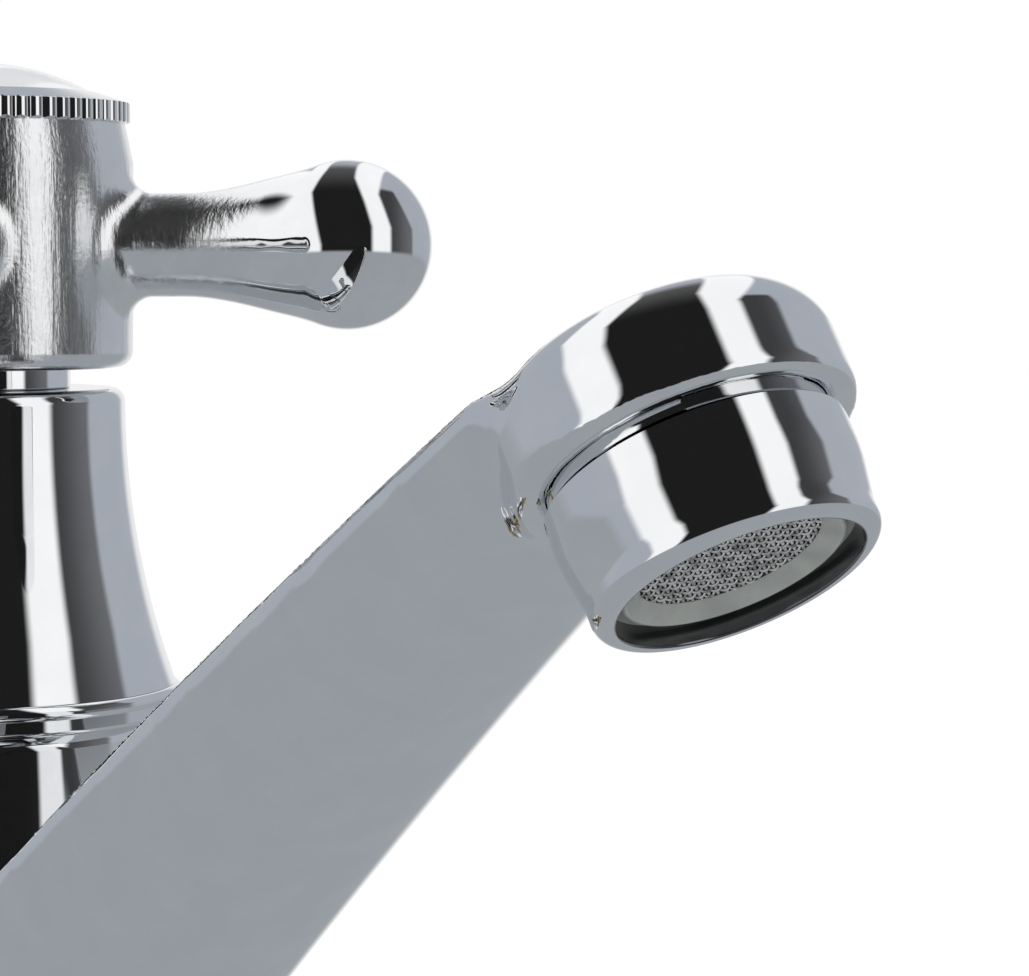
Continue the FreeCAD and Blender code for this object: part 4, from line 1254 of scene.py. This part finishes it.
spigot_corners = [
    (SPIGOT_BORE, SPIGOT_END), (SPIGOT_RADIUS - SPIGOT_CHAMFER, SPIGOT_END),
    *rows(SPIGOT_RADIUS, SPIGOT_END + SPIGOT_CHAMFER, BOSS_END - 0.5, SPIGOT_ROW),
    (SPIGOT_RADIUS, BOSS_END + 0.3), (SPIGOT_BORE, BOSS_END + 0.3)]
spigot = turned_piece("spout_thread", spigot_corners, chrome, steps=96, own_normals=False)
spigot = worked(
    spigot, ripples, Flutes=1.0, Pitch=-SPIGOT_THREAD[0] * MM, Depth=SPIGOT_THREAD[1] * MM,
    Radius=SPIGOT_RADIUS * MM, Low=(SPIGOT_END + 0.5) * MM, High=(BOSS_END - 0.6) * MM,
    Sharpness=1.0, Material=chrome)


def carried_to_outlet(piece):
    """A piece drawn upright at the origin, moved for good to the spout's outlet."""
    mesh = piece.data
    spots = np.empty(len(mesh.vertices) * 3)
    mesh.vertices.foreach_get("co", spots)
    spots = from_outlet(spots.reshape(-1, 3) / MM) * MM
    mesh.vertices.foreach_set("co", spots.ravel())
    mesh.update()
    return piece


carried_to_outlet(spigot)
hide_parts("tap_body")
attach(spigot, "tap")


def outside_walls(tree, place):
    """1 on the shell's plated outside and 0 on its inner walls, which get painted shade."""
    spot = tree.node("ShaderNodeVectorMath", {"operation": "SUBTRACT"}, {0: place, 1: tuple(outlet_place)})
    axis = tree.node(
        "ShaderNodeVectorMath", {"operation": "CROSS_PRODUCT"}, {0: spot, 1: tuple(outlet_turn[:, 2])})
    out = tree.node("ShaderNodeVectorMath", {"operation": "LENGTH"}, {0: axis}, output="Value")
    return out.between(*(OUTLET_RADIUS + more for more in SHELL_SHADE_FADE))


# The shell's inner walls get a dark colour painted on as shade.
shell_piece = turned_piece(
    "aerator_housing",
    [(OUTLET_RADIUS, 0.0, 0.25), (SHELL_LIP[0] + 0.05, 0.0, SHELL_LIP_ROUNDING),
     (*SHELL_LIP, SHELL_TAPER_ROUNDINGS[0]), (SHELL_RADIUS, SHELL_TAPER_TOP, SHELL_TAPER_ROUNDINGS[1]),
     (SHELL_RADIUS, SHELL_TOP - SHELL_CHAMFER), (SHELL_RADIUS - SHELL_CHAMFER, SHELL_TOP),
     (THREAD_ROOM, SHELL_TOP), (THREAD_ROOM, INSERT_FLANGE[1]),
     (INSERT_FLANGE[0] + INSERT_ROOM, INSERT_FLANGE[1]),
     (INSERT_FLANGE[0] + INSERT_ROOM, SHELL_LEDGE), (OUTLET_RADIUS, SHELL_LEDGE)],
    polished_chrome("chrome_painted_shade_inside", outside_walls), outlet=True, steps=256)
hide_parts("aerator_shell")
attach(shell_piece, "tap")


def moulded(name, low, high, roughness):
    """Matt moulding with a faint cloudiness and a fine grain."""
    return grained(
        name, (low, high), (0.4, 4.0, 0.3, 0.7), (6.0, 2.0), (roughness, roughness + 0.12), 0.01)


grey_plastic = moulded("grey_plastic", (0.235, 0.25, 0.24), (0.29, 0.305, 0.29), 0.32)
insert = turned_piece(
    "aerator_cartridge",
    [(SCREEN_RADIUS, SCREEN_HEIGHTS[0]), (INSERT_NOSE[0] - 0.3, INSERT_NOSE[1], 0.3),
     (INSERT_NOSE[0], INSERT_NOSE[1] + 0.2, 0.1), (INSERT_NOSE[0], SHELL_LEDGE),
     (INSERT_FLANGE[0], SHELL_LEDGE), (INSERT_FLANGE[0], INSERT_FLANGE[1]),
     (INSERT_BODY, INSERT_FLANGE[1]), (INSERT_BODY, INSERT_TOP, 0.2), (INSERT_LINING, INSERT_TOP, 0.2),
     (INSERT_LINING, DIFFUSER_HEIGHT), (INSERT_RIB, DIFFUSER_HEIGHT),
     (INSERT_RIB, INSERT_GROOVE[1]), INSERT_GROOVE,
     (INSERT_GROOVE[0], SCREEN_HEIGHTS[0] + INSERT_ROOM),
     (SCREEN_RADIUS, SCREEN_HEIGHTS[0] + INSERT_ROOM)],
    grey_plastic, outlet=True)
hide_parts("aerator_insert")
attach(insert, "tap")


def screen_tree(name):
    """Geometry nodes for a round screen of woven wire, level at the origin.

    Each wire rises and falls as it crosses the others, and ends at the screen's rim.
    """
    group, tree, value = start_group(name, ("Pitch", "Wire Radius", "Rim Radius", "Turn"))
    across = (value["Rim Radius"] / value["Pitch"]).maths("CEIL")
    start = across * value["Pitch"] * -1
    steps_per_wire = 6

    def line(count, begin, step, direction):
        sockets = {}
        for label, amount in (("Start Location", begin), ("Offset", step)):
            sockets[label] = tree.node(
                "ShaderNodeCombineXYZ", None, {"XY"[direction]: amount})
        return tree.node("GeometryNodeMeshLine", {"mode": "OFFSET"}, {"Count": count, **sockets})

    wire = line(across * (2 * steps_per_wire) + 1, start, value["Pitch"] / steps_per_wire, 0)
    places = line(across * 2 + 1, start, value["Pitch"], 1)
    wires = tree.node("GeometryNodeInstanceOnPoints", None, {"Points": places, "Instance": wire})
    wires = tree.node("GeometryNodeRealizeInstances", None, {"Geometry": wires})
    place = tree.node("GeometryNodeInputPosition")
    x, y, _ = tree.parts(place)
    outside = tree.node("ShaderNodeVectorMath", {"operation": "LENGTH"}, {0: place}, output="Value")
    outside = outside > value["Rim Radius"]
    kept = tree.node(
        "GeometryNodeDeleteGeometry", {"domain": "POINT"}, {"Geometry": wires, "Selection": outside})
    sets = tree.node("GeometryNodeJoinGeometry")
    join = sets.socket.node
    for turned, side in ((0.0, 1.0), (math.pi / 2, -1.0)):
        weave = (x * math.pi / value["Pitch"]).maths("COSINE")
        weave = weave * (y * math.pi / value["Pitch"]).maths("COSINE")
        rise = tree.node("ShaderNodeCombineXYZ", None, {"Z": weave * value["Wire Radius"] * side})
        waved = tree.node("GeometryNodeSetPosition", None, {"Geometry": kept, "Offset": rise})
        turning = tree.node("ShaderNodeCombineXYZ", None, {"Z": value["Turn"] + turned})
        placed = tree.node("GeometryNodeTransform", None, {"Geometry": waved, "Rotation": turning})
        tree.links.new(placed.socket, join.inputs[0])
    curves = tree.node("GeometryNodeMeshToCurve", None, {"Mesh": sets})
    profile = tree.node(
        "GeometryNodeCurvePrimitiveCircle", None, {"Resolution": 6, "Radius": value["Wire Radius"]})
    solid = tree.node(
        "GeometryNodeCurveToMesh", None,
        {"Curve": curves, "Profile Curve": profile, "Fill Caps": True})
    smooth = tree.node("GeometryNodeSetShadeSmooth", None, {0: solid})
    finish_group(tree, smooth, value["Material"])
    return group


wire_steel = grained(
    "woven_steel", ((0.86, 0.83, 0.81), (0.30, 0.285, 0.275)),
    (1.1, 4.0, 0.4, 0.7), (4.0, 3.0), (0.07, 0.19), 0.01, metallic=1.0)
weaving = screen_tree("woven_screen")


def woven_screen(name, rim_radius, height, turn):
    """A wire screen set level in the outlet's frame at a height."""
    start = Shell()
    start.add_points([(0.0, 0.0, 0.0)])
    piece = start.make(name, wire_steel, own_normals=False)
    worked(
        piece, weaving, crease=60.0, **{
            "Pitch": SCREEN_PITCH * MM, "Wire Radius": SCREEN_WIRE * MM,
            "Rim Radius": rim_radius * MM, "Turn": turn, "Material": wire_steel})
    piece.data.transform(Matrix.Translation((0, 0, height * MM)))
    carried_to_outlet(piece)
    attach(piece, "tap")
    return piece


SCREEN_TURN = math.radians(45)
outlet_screen = woven_screen(
    "outlet_screen", SCREEN_RADIUS + SCREEN_HELD, sum(SCREEN_HEIGHTS) / 2, SCREEN_TURN)
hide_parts("aerator_screen")

# ---------------------------------------------------------------- pieces inside
# The valve, the handle's fixing and the aerator's inner pieces stay as they are in the
# CAD model and take their finish here.
# The diffuser's near-black colour is painted shade, for the dark behind the outlet screen.
diffuser_shade_plastic = moulded("diffuser_painted_shade", (0.03, 0.03, 0.03), (0.045, 0.045, 0.045), 0.4)
fibre = moulded("red_fibre", (0.30, 0.08, 0.05), (0.36, 0.11, 0.07), 0.55)
nylon = moulded("white_nylon", (0.74, 0.74, 0.70), (0.80, 0.80, 0.77), 0.35)
FINISHES = {
    "valve_seat": brass, "headwork_body": brass, "spindle": brass, "valve_carrier": brass,
    "headwork_washer": fibre, "thrust_washer": fibre, "spindle_o_rings": rubber, "seat_washer": rubber,
    "index_o_ring": rubber, "aerator_seal": rubber, "aerator_diffuser": diffuser_shade_plastic,
    "spindle_circlip": steel, "screw_washer": steel,
    "handle_screw": steel, "washer_screw": steel, "spline_bush": nylon,
    "aerator_inlet_screen": wire_steel}
for name, finish in FINISHES.items():
    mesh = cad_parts[name].data
    mesh.materials.clear()
    mesh.materials.append(finish)

# ---------------------------------------------------------------- floor
# A plain pale floor below the tail.
FLOOR_HEIGHT = -0.052


def stage_floor():
    material, tree, _ = start_material("pale_floor")
    finish_material(tree, Base_Color=grey(1.0), Roughness=1.0)
    bpy.ops.mesh.primitive_plane_add(size=6.0, location=(0, 0, FLOOR_HEIGHT))
    floor = bpy.context.object
    floor.name = "floor"
    floor.data.materials.append(material)
    floor.visible_glossy = False


stage_floor()
